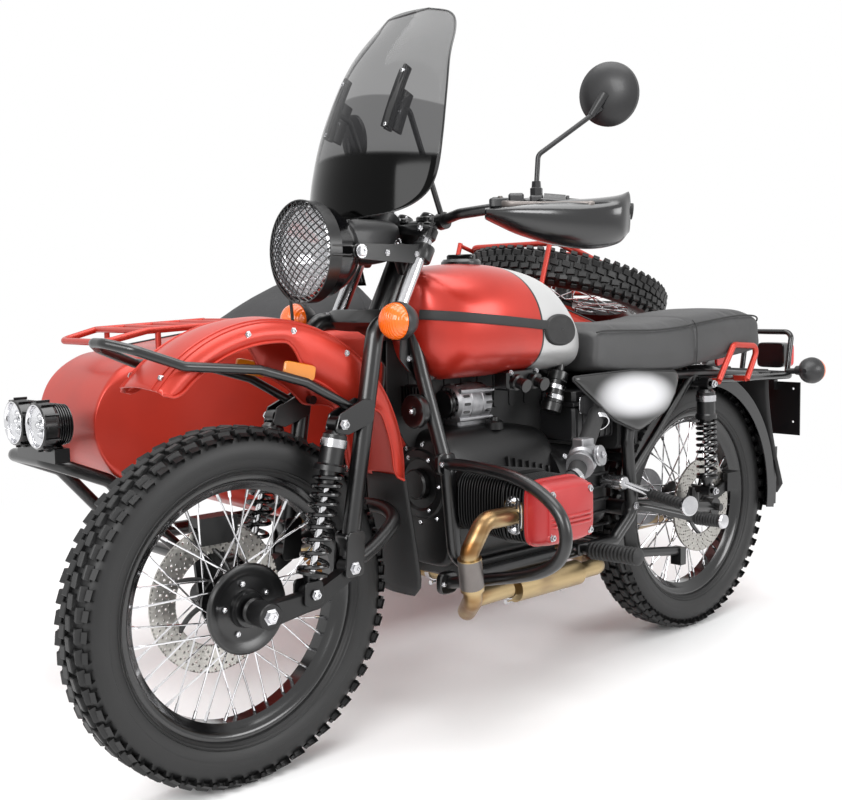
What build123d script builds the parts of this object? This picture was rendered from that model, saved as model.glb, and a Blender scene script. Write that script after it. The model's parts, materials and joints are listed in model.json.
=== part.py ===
"""Motorcycle with sidecar, in millimetres: +Z up, +X the rider's left, -Y forwards.

Every piece is drawn in machine coordinates, with X = 0 in the motorcycle's middle plane, Y = 0 half
way between its axles and Z = 0 on the ground, and is moved by ORIGIN when it is written, which puts
the part's origin on the ground below the middle of its outline.
"""
import math
import os

from build123d import *

os.makedirs("parts", exist_ok=True)

# ---- driving dimensions -------------------------------------------------------------------------
ORIGIN = Vector(377, -156, 0)  # moves machine coordinates to the part's own frame

WHEELBASE = 1470.0
TRACK = 1130.0  # motorcycle's middle plane to the sidecar wheel
LEAD = 100.0  # sidecar axle ahead of the rear axle

# wheel, the same one in all four places
TYRE_R = 346.0  # to the tips of the tread blocks
TYRE_HALF = 56.0
TYRE_SHOULDER = 34.0  # half width of the tread's crown
RIM_LIP_R = 255.0
RIM_SEAT_R = 241.0
RIM_WELL_R = 229.0
RIM_HALF = 34.0
RIM_WALL = 4.0
HUB_R = 30.0
HUB_FLANGE_R = 54.0
HUB_FLANGE_X = 34.0
HUB_HALF = 52.0
SPOKE_R = 2.0
SPOKES = 40
AXLE_R = 10.0
PIN_GAP = 0.4  # between an axle and its bore
CLEAR = 5.0  # between a moving piece and what it passes
DISC_T = 5.0
FRONT_DISC_R = 147.5
REAR_DISC_R = 128.0
SIDE_DISC_R = 122.0

FRONT_AXLE_Y = -WHEELBASE / 2
REAR_AXLE_Y = WHEELBASE / 2
SIDE_AXLE_Y = REAR_AXLE_Y - LEAD
AXLE_Z = TYRE_R

# steering
RAKE = 28.0  # degrees from upright
HEAD = Vector(0, -318, 950)  # middle of the steering head
HEAD_HALF = 78.0
HEAD_R = 30.0
STEM_R = 14.0
STANCHION_X = 95.0
STANCHION_R = 17.0
STANCHION_AHEAD = 32.0  # stanchions ahead of the steering axis
CLAMP_T = 26.0
LEG_X = 105.0
LEG_R = 19.0

# sidecar body
CAR_X = -700.0  # middle plane of the sidecar
CAR_WALL = 4.0
CAR_HALF = 280.0  # half width at the cockpit
CAR_NOSE_HALF = 145.0
NOSE_Y, NOSE_Z, NOSE_R = -580.0, 647.0, 160.0  # the rolled nose
CAR_FLOOR = 330.0
DECK_FRONT = (640.0, 925.0)  # Y and Z of the boot lid's front edge
DECK_DROP = 17.5  # degrees, slope of the boot lid and the spare wheel
TAIL_Y = 1330.0

TUBE_R = 16.0  # frame tubes


def deg(angle):
    """Angle in radians."""
    return math.radians(angle)


STEER_AXIS = Vector(0, math.sin(deg(RAKE)), math.cos(deg(RAKE)))
STEER_AHEAD = Vector(0, -math.cos(deg(RAKE)), math.sin(deg(RAKE)))


def on_head(x, along, ahead):
    """Point given by its side, its height along the steering axis and its place ahead of it."""
    return HEAD + Vector(x, 0, 0) + STEER_AXIS * along + STEER_AHEAD * ahead


# ---- tools --------------------------------------------------------------------------------------
def rod(start, end, radius):
    """Round bar between two points."""
    a, b = Vector(*start), Vector(*end)
    place = Plane(origin=a, z_dir=b - a)
    return place * Cylinder(radius, (b - a).length, align=(Align.CENTER, Align.CENTER, Align.MIN))


def tube(points, radius, bend):
    """Bar along straight runs joined by arcs of one bend radius."""
    path = FilletPolyline(*[Vector(*p) for p in points], radius=bend)
    section = Plane(origin=path @ 0, z_dir=path % 0) * Circle(radius)
    return sweep(section, path=path)


def turned(profile, centre=(0, 0, 0)):
    """Solid of revolution about X from a closed (x, radius) outline."""
    face = make_face(Polyline(*profile, close=True))
    return Pos(*centre) * revolve(face, axis=Axis.X)


def turned_y(profile, centre=(0, 0, 0)):
    """Solid of revolution about Y from a closed (y, radius) outline."""
    face = make_face(Polyline(*[(r, y) for y, r in profile], close=True))
    return Pos(*centre) * revolve(face, axis=Axis.Y)


def side_plate(outline, x_from, x_to):
    """Plate parallel to the YZ plane from a closed (y, z) outline."""
    face = make_face(Polyline(*outline, close=True))
    return Plane(origin=(x_from, 0, 0), x_dir=(0, 1, 0), z_dir=(1, 0, 0)) * extrude(face, x_to - x_from)


def block(x, y, z):
    """Box between two X, two Y and two Z values."""
    size = (x[1] - x[0], y[1] - y[0], z[1] - z[0])
    return Pos(*[(c[0] + c[1]) / 2 for c in (x, y, z)]) * Box(*size)


def mirrored(shape):
    """The same piece on the other side of the motorcycle."""
    return mirror(shape, about=Plane.YZ)


def fuse(*shapes):
    """One solid of several that overlap."""
    return shapes[0].fuse(*shapes[1:]) if len(shapes) > 1 else shapes[0]


def whole(shape):
    """The largest solid of a cut piece, without the chips that the cut leaves."""
    return max(shape.solids(), key=lambda solid: solid.volume)


def write(name, *shapes):
    """Write one node: its solids in the part's own frame."""
    moved = [Pos(*ORIGIN) * s for s in shapes]
    solids = [solid for shape in moved for solid in shape.solids()]
    export_step(Compound(children=solids) if len(solids) > 1 else solids[0], f"parts/{name}.step")


# ---- wheels -------------------------------------------------------------------------------------
def tyre():
    """Hollow tyre seated on the rim's bead seats."""
    seat = RIM_HALF - RIM_WALL + 1
    outer = [(seat, RIM_SEAT_R), (seat, RIM_LIP_R), (TYRE_HALF - 3, RIM_LIP_R + 28), (TYRE_HALF, TYRE_R - 38),
             (TYRE_HALF - 4, TYRE_R - 14), (TYRE_SHOULDER, TYRE_R - 3), (TYRE_SHOULDER / 2, TYRE_R)]
    inner = [(TYRE_SHOULDER, TYRE_R - 24), (TYRE_HALF - 14, RIM_LIP_R + 40), (seat - 8, RIM_SEAT_R)]
    right = outer + [(-x, r) for x, r in reversed(outer)]
    left = [(-x, r) for x, r in reversed(inner)] + inner
    return turned(right + left)


def rim():
    """Rim with bead seats and a drop centre."""
    seat = RIM_HALF - RIM_WALL + 1
    outer = [(-RIM_HALF, RIM_LIP_R), (-seat, RIM_LIP_R), (-seat, RIM_SEAT_R), (-seat + 9, RIM_SEAT_R),
             (-12, RIM_WELL_R)]
    inner = [(-13, RIM_WELL_R - RIM_WALL), (-seat + 8, RIM_SEAT_R - RIM_WALL), (-RIM_HALF, RIM_SEAT_R - RIM_WALL)]
    top = outer + [(-x, r) for x, r in reversed(outer)]
    bottom = [(-x, r) for x, r in reversed(inner)] + inner
    return turned(top + bottom)


def hub():
    """Hub with two spoke flanges, bored for its axle."""
    half = [(0, HUB_R), (HUB_FLANGE_X - 4, HUB_R + 4), (HUB_FLANGE_X - 4, HUB_FLANGE_R),
            (HUB_FLANGE_X + 3, HUB_FLANGE_R), (HUB_FLANGE_X + 3, HUB_R + 8), (HUB_HALF, HUB_R + 8)]
    bore = AXLE_R + PIN_GAP
    outline = [(-x, r) for x, r in reversed(half)] + half[1:] + [(HUB_HALF, bore), (-HUB_HALF, bore)]
    return turned(outline)


def spokes():
    """Crossed spokes, alternately from the two hub flanges."""
    bars = []
    for i in range(SPOKES):
        side = 1 if i % 2 else -1
        lean = 1 if i % 4 < 2 else -1
        at = 360 / SPOKES * i
        root = at + lean * 52
        foot = (side * HUB_FLANGE_X, (HUB_FLANGE_R - 6) * math.cos(deg(root)), (HUB_FLANGE_R - 6) * math.sin(deg(root)))
        tip_r = RIM_WELL_R - RIM_WALL / 2
        tip = (side * 6, tip_r * math.cos(deg(at)), tip_r * math.sin(deg(at)))
        bars.append(rod(foot, tip, SPOKE_R))
    return bars


def brake_disc(radius, x, carrier_r):
    """Brake disc with its carrier, bored for the hub, on the side that x gives."""
    away = math.copysign(DISC_T, x)
    band = turned([(x, carrier_r), (x, radius), (x + away, radius), (x + away, carrier_r)])
    inner = HUB_R + 8
    base = math.copysign(HUB_FLANGE_X + 3, x)
    carrier = turned([(base, inner), (base, inner + 18), (x, carrier_r + 4), (x + away, carrier_r + 4),
                      (x + away, carrier_r - 10), (base + away * 1.5, inner)])
    holes = [Rot(step * 15, 0, 0) * Pos(x + away / 2, row, 0) * Rot(0, 90, 0) * Cylinder(5, 3 * DISC_T)
             for step, row in [(s, radius - 14 - 16 * (s % 2)) for s in range(24)]]
    return fuse(band, carrier) - holes


# ---- steering assembly --------------------------------------------------------------------------
LINK_PIVOT = (-536.0, 403.0)  # Y and Z
LEG_FOOT = (-536.0, 430.0)
LEG_BEND = (-452.0, 880.0)
SHOCK_TOP = (-556.0, 688.0)
SHOCK_FOOT = (-634.0, 369.0)
SHOCK_EYE_R = 15.0
SHOCK_EYE_HALF = 13.0
SPRING_R = 30.0
LOWER_CLAMP = -96.0  # along the steering axis, from the middle of the head
UPPER_CLAMP = 104.0
FENDER_Y, FENDER_Z, FENDER_R = -674.0, 567.0, 328.0  # centre and crown of the front fender's arc
FENDER_FROM, FENDER_TO = -3.0, 140.0  # degrees round that arc, from the rear end
FENDER_HALF = 78.0
LAMP = (0.0, -575.0, 1023.0)  # middle of the headlamp's face
LAMP_R = 97.0
EAR_BOLT = (-490.0, 1021.0)  # Y and Z of the headlamp's side bolts
BAR_R = 11.0
BAR = [(0, -251, 1082), (60, -251, 1082), (150, -262, 1098), (292, -205, 1112), (432, -62, 1092)]
RISER_X = 38.0


def clamp(along):
    """Bridge across the two stanchions, the steering stem and the legs."""
    plan = [(-LEG_X - 8, 12), (-LEG_X - 8, 58), (LEG_X + 8, 58), (LEG_X + 8, 12), (24, -22), (-24, -22)]
    face = make_face(Polyline(*plan, close=True))
    place = Plane(origin=on_head(0, along - CLAMP_T / 2, 0), x_dir=(1, 0, 0), z_dir=STEER_AXIS)
    return place * extrude(mirror(face, about=Plane.XZ), CLAMP_T)


def fork():
    """Both fork legs, stanchions, clamps, stem and the clevises for links and shocks."""
    pieces = [clamp(LOWER_CLAMP), clamp(UPPER_CLAMP),
              rod(on_head(0, LOWER_CLAMP, 0), on_head(0, UPPER_CLAMP, 0), STEM_R)]
    for side in (-1, 1):
        x = side * LEG_X
        knee = on_head(x, LOWER_CLAMP + 6, 30)
        pieces.append(tube([(x, *LEG_FOOT), (x, *LEG_BEND), knee], LEG_R, 40))
        top = on_head(side * STANCHION_X, UPPER_CLAMP + 22, STANCHION_AHEAD)
        pieces.append(rod(on_head(side * STANCHION_X, LOWER_CLAMP - 10, STANCHION_AHEAD), top, STANCHION_R))
        for shift in (-19, 19):
            cheek = side_plate([(-556, 392), (-516, 392), (-510, 470), (-548, 470)],
                               x + shift - 3, x + shift + 3)
            pieces.append(cheek)
        pieces.append(rod((x - 24, *LINK_PIVOT), (x + 24, *LINK_PIVOT), 9))
        for shift in (-16, 16):
            ear = side_plate([(-572, 672), (-540, 668), (-478, 690), (-474, 726), (-500, 732), (-560, 706)],
                             x + shift - 3, x + shift + 3)
            pieces.append(ear)
        pieces.append(rod((side * FENDER_HALF, -488, 720), (x, -488, 720), 8))
        pieces.append(rod(on_head(side * RISER_X, UPPER_CLAMP, 3), on_head(side * RISER_X, UPPER_CLAMP + 62, 3), 17))
        ear = side_plate([(-520, 1006), (-520, 1038), (-380, 1062), (-300, 1040), (-300, 1000), (-400, 984)],
                         side * 99 - 3, side * 99 + 3)
        pieces.append(ear)
        pieces.append(rod((side * 70, *EAR_BOLT), (side * 112, *EAR_BOLT), 9))
    return fuse(*pieces) - rod((-60, *BAR[0][1:]), (60, *BAR[0][1:]), BAR_R)


def link(side):
    """Swinging link from its pivot past the shock's foot to the axle."""
    x = side * LEG_X
    axle = (FRONT_AXLE_Y, AXLE_Z)
    outline = [(LINK_PIVOT[0] + 20, LINK_PIVOT[1] + 10), (LINK_PIVOT[0] + 18, LINK_PIVOT[1] - 20),
               (SHOCK_FOOT[0], SHOCK_FOOT[1] - 42), (axle[0] - 6, axle[1] - 30), (axle[0] - 30, axle[1] - 8),
               (axle[0] - 24, axle[1] + 22), (SHOCK_FOOT[0] - 26, SHOCK_FOOT[1] + 10),
               (SHOCK_FOOT[0] + 26, SHOCK_FOOT[1] + 10)]
    arm = side_plate(outline, x - 13, x + 13)
    boss = rod((x - 20, *axle), (x + 20, *axle), 24)
    slot = rod((x - 40, *LINK_PIVOT), (x + 40, *LINK_PIVOT), 9)
    seat = block((x - 13, x + 13), (SHOCK_FOOT[0] - SHOCK_EYE_R, SHOCK_FOOT[0] + SHOCK_EYE_R),
                 (SHOCK_FOOT[1] - SHOCK_EYE_R, SHOCK_FOOT[1] + 60))
    return fuse(arm, boss) - slot - seat


def links():
    """Both links on the front axle."""
    axle = rod((-LEG_X, FRONT_AXLE_Y, AXLE_Z), (LEG_X, FRONT_AXLE_Y, AXLE_Z), AXLE_R)
    return fuse(link(-1), link(1), axle)


def shock(foot, top, x, spring_r, turns):
    """Coil-over damper between two eyes: body, rod, eyes and the spring's turns as rings on it."""
    a, b = Vector(x, *foot), Vector(x, *top)
    axis = (b - a).normalized()
    length = (b - a).length
    pieces = [rod(a, b, 9), rod(a + axis * length * 0.58, b - axis * 24, spring_r * 0.72),
              rod(a + axis * 28, a + axis * 38, spring_r), rod(b - axis * 96, b - axis * 84, spring_r)]
    for i in range(turns):
        at = a + axis * (44 + (length - 150) * i / (turns - 1))
        pieces.append(Plane(origin=at, z_dir=axis) * (Cylinder(spring_r, 8) - Cylinder(spring_r - 9, 8)))
    web = rod(a + axis * 30, b - axis * 90, spring_r - 8)
    pieces.append(web)
    for eye in (a, b):
        pieces.append(rod(eye - Vector(SHOCK_EYE_HALF, 0, 0), eye + Vector(SHOCK_EYE_HALF, 0, 0), SHOCK_EYE_R))
    return fuse(*pieces)


def fender(centre, radius, half, start, end, drop, wall=3.0):
    """Curved fender with turned-down sides, as part of a ring round the wheel's axis."""
    outline = [(-half, radius - drop), (-half, radius - 22), (-half + 22, radius - 4), (-20, radius - 2),
               (-14, radius + 4), (14, radius + 4), (20, radius - 2), (half - 22, radius - 4), (half, radius - 22),
               (half, radius - drop)]
    inside = [(x * (half - wall) / half, r - wall if r > radius - 24 else r) for x, r in reversed(outline)]
    face = make_face(Polyline(*outline, *inside, close=True))
    ring = revolve(face, axis=Axis.X, revolution_arc=end - start)
    return Pos(*centre) * Rot(start, 0, 0) * ring


def front_fender():
    """Front fender with its deeper side panels between the legs."""
    centre = (0, FENDER_Y, FENDER_Z)
    crown = fender(centre, FENDER_R, FENDER_HALF, FENDER_FROM, FENDER_TO, 44)
    panels = []
    for side in (-1, 1):
        x = side * (FENDER_HALF - 1.5)
        face = [(x - 1.5, FENDER_R - 112), (x - 1.5, FENDER_R - 30), (x + 1.5, FENDER_R - 30),
                (x + 1.5, FENDER_R - 112)]
        sheet = revolve(make_face(Polyline(*face, close=True)), axis=Axis.X, revolution_arc=62)
        panels.append(Pos(*centre) * Rot(18, 0, 0) * sheet)
    return fuse(crown, *panels)


def front_flap():
    """Rubber flap hanging from the rear end of the front fender."""
    return side_plate([(-354, 556), (-349, 556), (-318, 290), (-323, 290)], -72, 72) - front_fender()


def headlamp_shell():
    """Round headlamp bowl, open at the front for the glass."""
    x, y, z = LAMP
    outline = [(0, LAMP_R), (14, LAMP_R), (60, LAMP_R - 8), (108, LAMP_R - 30), (146, 36), (154, 0), (146, 0),
               (138, 34), (104, LAMP_R - 36), (58, LAMP_R - 14), (14, LAMP_R - 8), (0, LAMP_R - 8)]
    return turned_y(outline, LAMP)


def headlamp_glass():
    """Domed lens seated in the bowl's mouth."""
    edge = LAMP_R - 8
    outline = [(12, 0), (12, edge), (2, edge), (-8, edge * 0.7), (-14, edge * 0.35), (-16, 0)]
    return turned_y(outline, LAMP)


def headlamp_guard():
    """Wire grille in front of the lens, on a hoop clipped round the bowl."""
    x, y, z = LAMP
    hoop = turned_y([(-3, LAMP_R), (-3, LAMP_R + 5), (10, LAMP_R + 5), (10, LAMP_R)], LAMP)
    wires = []
    pitch = 19.0
    reach = LAMP_R + 3
    for i in range(-4, 5):
        half = math.sqrt(reach ** 2 - (i * pitch) ** 2)
        for turn in (45, -45):
            bow = -24 + 14 * (abs(i) / 4) ** 2
            path = [(-half, 0), (-half * 0.6, bow), (half * 0.6, bow), (half, 0)]
            points = [Vector(a, b - 2, i * pitch) for a, b in path]
            wires.append(Pos(x, y, z) * Rot(0, turn, 0) * tube(points, 1.6, 20))
    return fuse(hoop, *wires)


SCREEN_FOOT = (-462.0, 1095.0)  # Y and Z of the middle of the windscreen
SCREEN_WAIST = (-418.0, 1300.0)
SCREEN_TOP = (-262.0, 1535.0)
SCREEN_AXIS_Y = -37.0  # upright axis that the screen is curved about
SCREEN_T = 4.0
SCREEN_OUTLINE = [  # half width, Z, up one side from the middle of the foot
    (60, 1092), (150, 1118), (205, 1160), (216, 1230), (205, 1330), (178, 1420), (130, 1495), (70, 1528)]


def screen_profile():
    """Points of the screen's outer profile: distance from its upright axis, and Z."""
    return [(p[0] - SCREEN_AXIS_Y, p[1]) for p in (SCREEN_FOOT, SCREEN_WAIST, SCREEN_TOP)]


def on_screen(share, x):
    """Point on the windscreen's inner face at a share of its height and a distance from its middle."""
    p = ThreePointArc(*screen_profile()) @ share
    return Vector(x, SCREEN_AXIS_Y - math.sqrt((abs(p.X) - SCREEN_T) ** 2 - x ** 2), p.Y)


def screen_stay(side):
    """Upright strip behind the windscreen and the stay that clamps it to the handlebar."""
    x = side * 96
    y, z = -256, 1087
    strip = rod(on_screen(0.36, x), on_screen(0.62, x), 9)
    joint = on_screen(0.48, x)
    stay = tube([joint, joint + Vector(0, 46, -20), (x, y, z)], 6, 20)
    ring = rod((x - 8, y - 1, z - 1), (x + 8, y - 1, z + 1), 18)
    return fuse(strip, stay, ring)


def windscreen():
    """Screen curved both ways, cut to its outline."""
    points = screen_profile()
    front = ThreePointArc(*points)
    back = ThreePointArc(*[(a + SCREEN_T, b) for a, b in reversed(points)])
    face = make_face([front, Line(points[2], (points[2][0] + SCREEN_T, points[2][1])), back,
                      Line((points[0][0] + SCREEN_T, points[0][1]), points[0])])
    skin = Rot(0, 0, -50) * revolve(Plane.YZ * face, axis=Axis.Z, revolution_arc=100)
    outline = SCREEN_OUTLINE + [(-x, z) for x, z in reversed(SCREEN_OUTLINE)]
    cutter = Plane.XZ * extrude(make_face(Polyline(*outline, close=True)), 600)
    return Pos(0, SCREEN_AXIS_Y, 0) * skin & cutter


GRIP_R = 16.0
MIRROR = Vector(400, -91, 1321)
MIRROR_R = 62.0


def handlebar():
    """One bent bar from grip to grip."""
    right = [(-x, y, z) for x, y, z in reversed(BAR[1:])]
    return tube(right + BAR[1:], BAR_R, 30)


def along_grip(share):
    """Point along the left grip's straight run of the handlebar."""
    a, b = Vector(*BAR[-2]), Vector(*BAR[-1])
    return a + (b - a) * share


def grip():
    """Rubber grip over the bar's end."""
    a, b = along_grip(0.36), along_grip(1.0)
    axis = (b - a).normalized()
    body = rod(a, b + axis * 4, GRIP_R)
    collar = rod(a, a + axis * 5, GRIP_R + 5)
    return fuse(body, collar) - rod(a - axis, b, BAR_R)


HOSE_R = 3.5
HOSE_X = LEG_X + LEG_R + HOSE_R + 2.5  # hose beside the fork leg


def brake_hose():
    """Front brake hose: over the bar in large arcs, down the right leg and round the damper to the caliper."""
    run = [(-288, -209, 1118), (-215, -262, 1150), (-140, -400, 1120), (-118, -500, 960), (-118, -494, 884),
           (-HOSE_X, -466, 800), (-HOSE_X, -524, 497), (-150, -570, 470), (-150, -640, 486), (-88, -664, 492),
           (-82, -698, 492)]
    return tube(run, HOSE_R, 40)


def hose_clip(z):
    """Band that ties the hose to the fork leg at a height."""
    share = (z - LEG_FOOT[1]) / (LEG_BEND[1] - LEG_FOOT[1])
    y = LEG_FOOT[0] + share * (LEG_BEND[0] - LEG_FOOT[0])
    return block((-HOSE_X - HOSE_R - 2, -LEG_X - LEG_R + 3), (y - 9, y + 9), (z - 4, z + 4))


def controls():
    """Switch housing, lever perch, lever and mirror boss."""
    a, b = along_grip(0.14), along_grip(0.35)
    c, d = along_grip(0.02), along_grip(0.13)
    house = rod(a, b, 22)
    perch = rod(c, d, 18)
    root = along_grip(0.08)
    lever = tube([root, root + Vector(30, -26, 4), along_grip(0.8) + Vector(34, -32, 0)], 5, 14)
    boss = rod(along_grip(0.08), along_grip(0.08) + Vector(0, -2, 34), 8)
    return fuse(house, perch, lever, boss)


def mirror_arm():
    """Mirror stem, its shell and the glass's rim."""
    root = along_grip(0.08) + Vector(0, -2, 34)
    bend = root + Vector(0, 6, 62)
    face = Vector(-0.25, 0.95, 0.08).normalized()
    stem = tube([root, bend, MIRROR - face * 20], 5, 16)
    place = Plane(origin=MIRROR, z_dir=face)
    bowl = place * Cylinder(MIRROR_R, 10, align=(Align.CENTER, Align.CENTER, Align.MIN))
    cone = place * Pos(0, 0, -14) * Cone(MIRROR_R * 0.55, MIRROR_R, 28)
    return fuse(stem, bowl, cone)


def hand_guard():
    """Deep shell in front of the hand, open to the rear."""
    run = [(-78, -20), (-70, -58), (20, -84), (150, -74), (212, -30), (216, 10)]
    a, b = Vector(*BAR[-2]), Vector(*BAR[-1])
    axis = (b - a).normalized()
    place = Plane(origin=a + Vector(0, 0, -74), x_dir=Vector(axis.X, axis.Y, 0), z_dir=(0, 0, 1))
    outer = make_face(Polyline(*run, (208, 10), (204, -26), (146, -66), (20, -75), (-64, -50), (-70, -20), close=True))
    shell = place * extrude(outer, 96)
    arm = rod(along_grip(-0.02) + Vector(-12, -8, 0), along_grip(-0.02) + Vector(-34, -70, -8), 7)
    return fuse(shell, arm)


def indicator(x, y, z, reach, face):
    """Round turn signal: rubber arm from reach, bowl and lens, facing forwards or back."""
    bowl = turned_y([(0, 0), (0, 37), (face * -26, 34), (face * -44, 14), (face * -44, 0)], (x, y, z))
    lens = turned_y([(0, 0), (0, 37), (face * 22, 34), (face * 32, 18), (face * 34, 0)], (x, y, z))
    arm = rod((x, y - face * 20, z), reach, 9)
    return fuse(bowl, arm, lens)


def guard_loop():
    """Tube round the front of the front fender, held at the fork legs."""
    half = [(100, -515, 716), (96, -620, 772), (94, -723, 802), (90, -877, 816), (66, -960, 848), (20, -992, 860)]
    return tube(half + [(-x, y, z) for x, y, z in reversed(half)], 9, 24)


# ---- motorcycle ---------------------------------------------------------------------------------
CRADLE_X = 110.0
CRADLE_Z = 322.0
SEAT_RAIL_Z = 722.0
RAIL_X = 95.0
CRASH_BAR_R = 13.0


def frame():
    """Tubular cradle frame with its steering head, seat rails and sidecar lugs."""
    head = rod(HEAD - STEER_AXIS * HEAD_HALF, HEAD + STEER_AXIS * HEAD_HALF, HEAD_R)
    pieces = [head, tube([(0, -300, 955), (0, -120, 930), (0, 180, 745), (0, 330, SEAT_RAIL_Z)], 20, 80)]
    for side in (-1, 1):
        down = [(side * 20, -300, 925), (side * 55, -284, 760), (side * CRADLE_X, -268, 560),
                (side * CRADLE_X, -250, 380), (side * CRADLE_X, -180, CRADLE_Z), (side * CRADLE_X, 290, CRADLE_Z),
                (side * CRADLE_X, 366, 385), (side * CRADLE_X, 348, 560), (side * CRADLE_X, 372, SEAT_RAIL_Z)]
        pieces.append(tube(down, TUBE_R, 40))
        rail = [(side * 12, 280, SEAT_RAIL_Z), (side * RAIL_X, 350, SEAT_RAIL_Z), (side * RAIL_X, 700, 712),
                (side * RAIL_X, 960, 690)]
        pieces.append(tube(rail, 12, 24))
        pieces.append(rod((side * CRADLE_X, 352, 470), (side * RAIL_X, 640, 708), 11))
    for y, z in ((-170, CRADLE_Z - 2), (300, CRADLE_Z), (354, 520)):
        pieces.append(rod((-CRADLE_X, y, z), (CRADLE_X, y, z), 12))
    bore = rod(HEAD - STEER_AXIS * 100, HEAD + STEER_AXIS * 100, STEM_R + PIN_GAP)
    return fuse(*pieces) - bore


CYL_Y = {-1: -150.0, 1: -188.0}  # the two cylinders' stagger, right and left
CYL_Z = 497.0
FINS = 9
PIPE_R = 19.0
PIPE_Z = 286.0
FIN_PITCH = 14.0
HEAD_FACE = 330.0  # where head and valve cover meet
COVER_FACE = 392.0


def crankcase():
    """Crankcase, gearbox, timing cover and sump as one casting."""
    case = block((-92, 92), (-225, 120), (340, 640))
    front = Pos(0, -225, 520) * Rot(90, 0, 0) * Cylinder(96, 32)
    sump = block((-80, 80), (-200, 110), (312, 345))
    gearbox = block((-80, 80), (120, 330), (350, 570))
    bell = Pos(0, 130, 470) * Rot(90, 0, 0) * Cylinder(118, 60)
    decks = [Pos(side * 92, CYL_Y[side], CYL_Z) * Rot(0, 90, 0) * Cylinder(66, 36) for side in (-1, 1)]
    return fuse(case, front, sump, gearbox, bell, *decks)


def cylinder(side):
    """Finned barrel and head reaching out to the valve cover."""
    y = CYL_Y[side]
    barrel = rod((side * 110, y, CYL_Z), (side * 280, y, CYL_Z), 50)
    pieces = [barrel]
    for i in range(FINS):
        x = side * (134 + i * FIN_PITCH)
        fin = Pos(x, y, CYL_Z) * Rot(0, 90, 0) * extrude(RectangleRounded(140, 142, 34), 3, both=True)
        pieces.append(fin)
    head = block(sorted((side * 268, side * HEAD_FACE)), (y - 68, y + 68), (CYL_Z - 62, CYL_Z + 62))
    pieces.append(head)
    return fuse(*pieces)


def valve_cover(side):
    """Domed rocker cover with shallow ribs on its face."""
    y = CYL_Y[side]
    near = Plane(origin=(side * HEAD_FACE, y, CYL_Z), x_dir=(0, 1, 0), z_dir=(side, 0, 0))
    far = Plane(origin=(side * COVER_FACE, y, CYL_Z), x_dir=(0, 1, 0), z_dir=(side, 0, 0))
    dome = loft([near * RectangleRounded(156, 124, 34), far * RectangleRounded(128, 92, 30)])
    ribs = [Pos(side * COVER_FACE, y, CYL_Z + z) * Box(6, 104, 5) for z in (-30, -18, -6, 6)]
    return fuse(dome, *ribs)


def exhaust_header(side):
    """Header pipe from the head's front, down and in to the collector under the engine."""
    y = CYL_Y[side]
    x = side * 296
    points = [(x, y - 68, CYL_Z - 6), (x - side * 6, -340, CYL_Z - 6), (x - side * 16, -374, 430),
              (x - side * 26, -354, 330), (x - side * 80, -320, PIPE_Z + 4), (side * 150, -240, PIPE_Z),
              (side * 144, -120, PIPE_Z)]
    pipe = tube(points, PIPE_R, 30)
    flange = Pos(x, y - 68 - 4, CYL_Z - 6) * Rot(90, 0, 0) * extrude(RectangleRounded(52, 66, 16), 4, both=True)
    sleeve = rod((x - side * 17, -372, 420), (x - side * 24, -358, 352), 24)
    return fuse(pipe, flange, sleeve)


def collector():
    """Cross pipe, two box ends and the pair of silencers to the rear right."""
    cross = rod((-144, -120, PIPE_Z), (144, -120, PIPE_Z), PIPE_R)
    left = rod((144, -104, PIPE_Z - 4), (144, 110, PIPE_Z - 4), 29)
    link_pipe = tube([(144, 100, PIPE_Z - 4), (144, 190, PIPE_Z - 4), (60, 260, PIPE_Z - 6),
                      (-130, 300, PIPE_Z - 8), (-180, 420, 270)], PIPE_R, 40)
    silencer = rod((-180, 405, 270), (-184, 900, 270), 36)
    tip = rod((-184, 890, 270), (-186, 1000, 274), PIPE_R)
    return fuse(cross, left, link_pipe, silencer, tip)


def crash_bar(side):
    """Loop guarding a cylinder, from the downtube out round the valve cover and back."""
    points = [(CRADLE_X, -262, 578), (250, -276, 578), (370, -276, 556), (440, -274, 500), (432, -272, 436),
              (360, -272, 384), (240, -266, 352), (CRADLE_X, -238, 352)]
    return tube([(side * x, y, z) for x, y, z in points], CRASH_BAR_R, 34)


def tank():
    """Fuel tank, teardrop in side view."""
    stations = [  # y, width, bottom, top, corner
        (-302, 130, 850, 950, 46),
        (-250, 236, 790, 986, 84),
        (-110, 296, 752, 1000, 104),
        (60, 286, 750, 972, 100),
        (190, 190, 760, 862, 48),
    ]
    sections = [Plane(origin=(0, y, (low + high) / 2), x_dir=(1, 0, 0), z_dir=(0, -1, 0)) *
                RectangleRounded(width, high - low, corner) for y, width, low, high, corner in stations]
    body = loft(sections)
    return body - frame()


# ---- motorcycle, rear half ----------------------------------------------------------------------
SWING_PIVOT = (352.0, 395.0)  # Y and Z
ARM_X = 96.0
REAR_SHOCK_X = 138.0
REAR_SHOCK_TOP = (645.0, 690.0)
REAR_SHOCK_FOOT = (655.0, 405.0)
RACK_Z = 697.0


def tank_straps():
    """Rubber straps round the tank's flanks with the pad that each ends in."""
    pieces = []
    for side in (-1, 1):
        pad = Pos(side * 134, 62, 843) * Rot(0, 90, 0) * extrude(Ellipse(40, 62), 18, both=True)
        strap = Pos(side * 120, -135, 878) * Rot(4, 0, 0) * Box(70, 300, 20)
        pieces.append(fuse(pad, strap))
    return pieces


def filler_cap():
    """Fuel cap with a flat grip across it."""
    base = Pos(0, -112, 992) * Cylinder(42, 20)
    bar = Pos(0, -112, 1008) * Rot(0, 0, 20) * Box(74, 22, 16)
    return fuse(base, bar)


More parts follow.
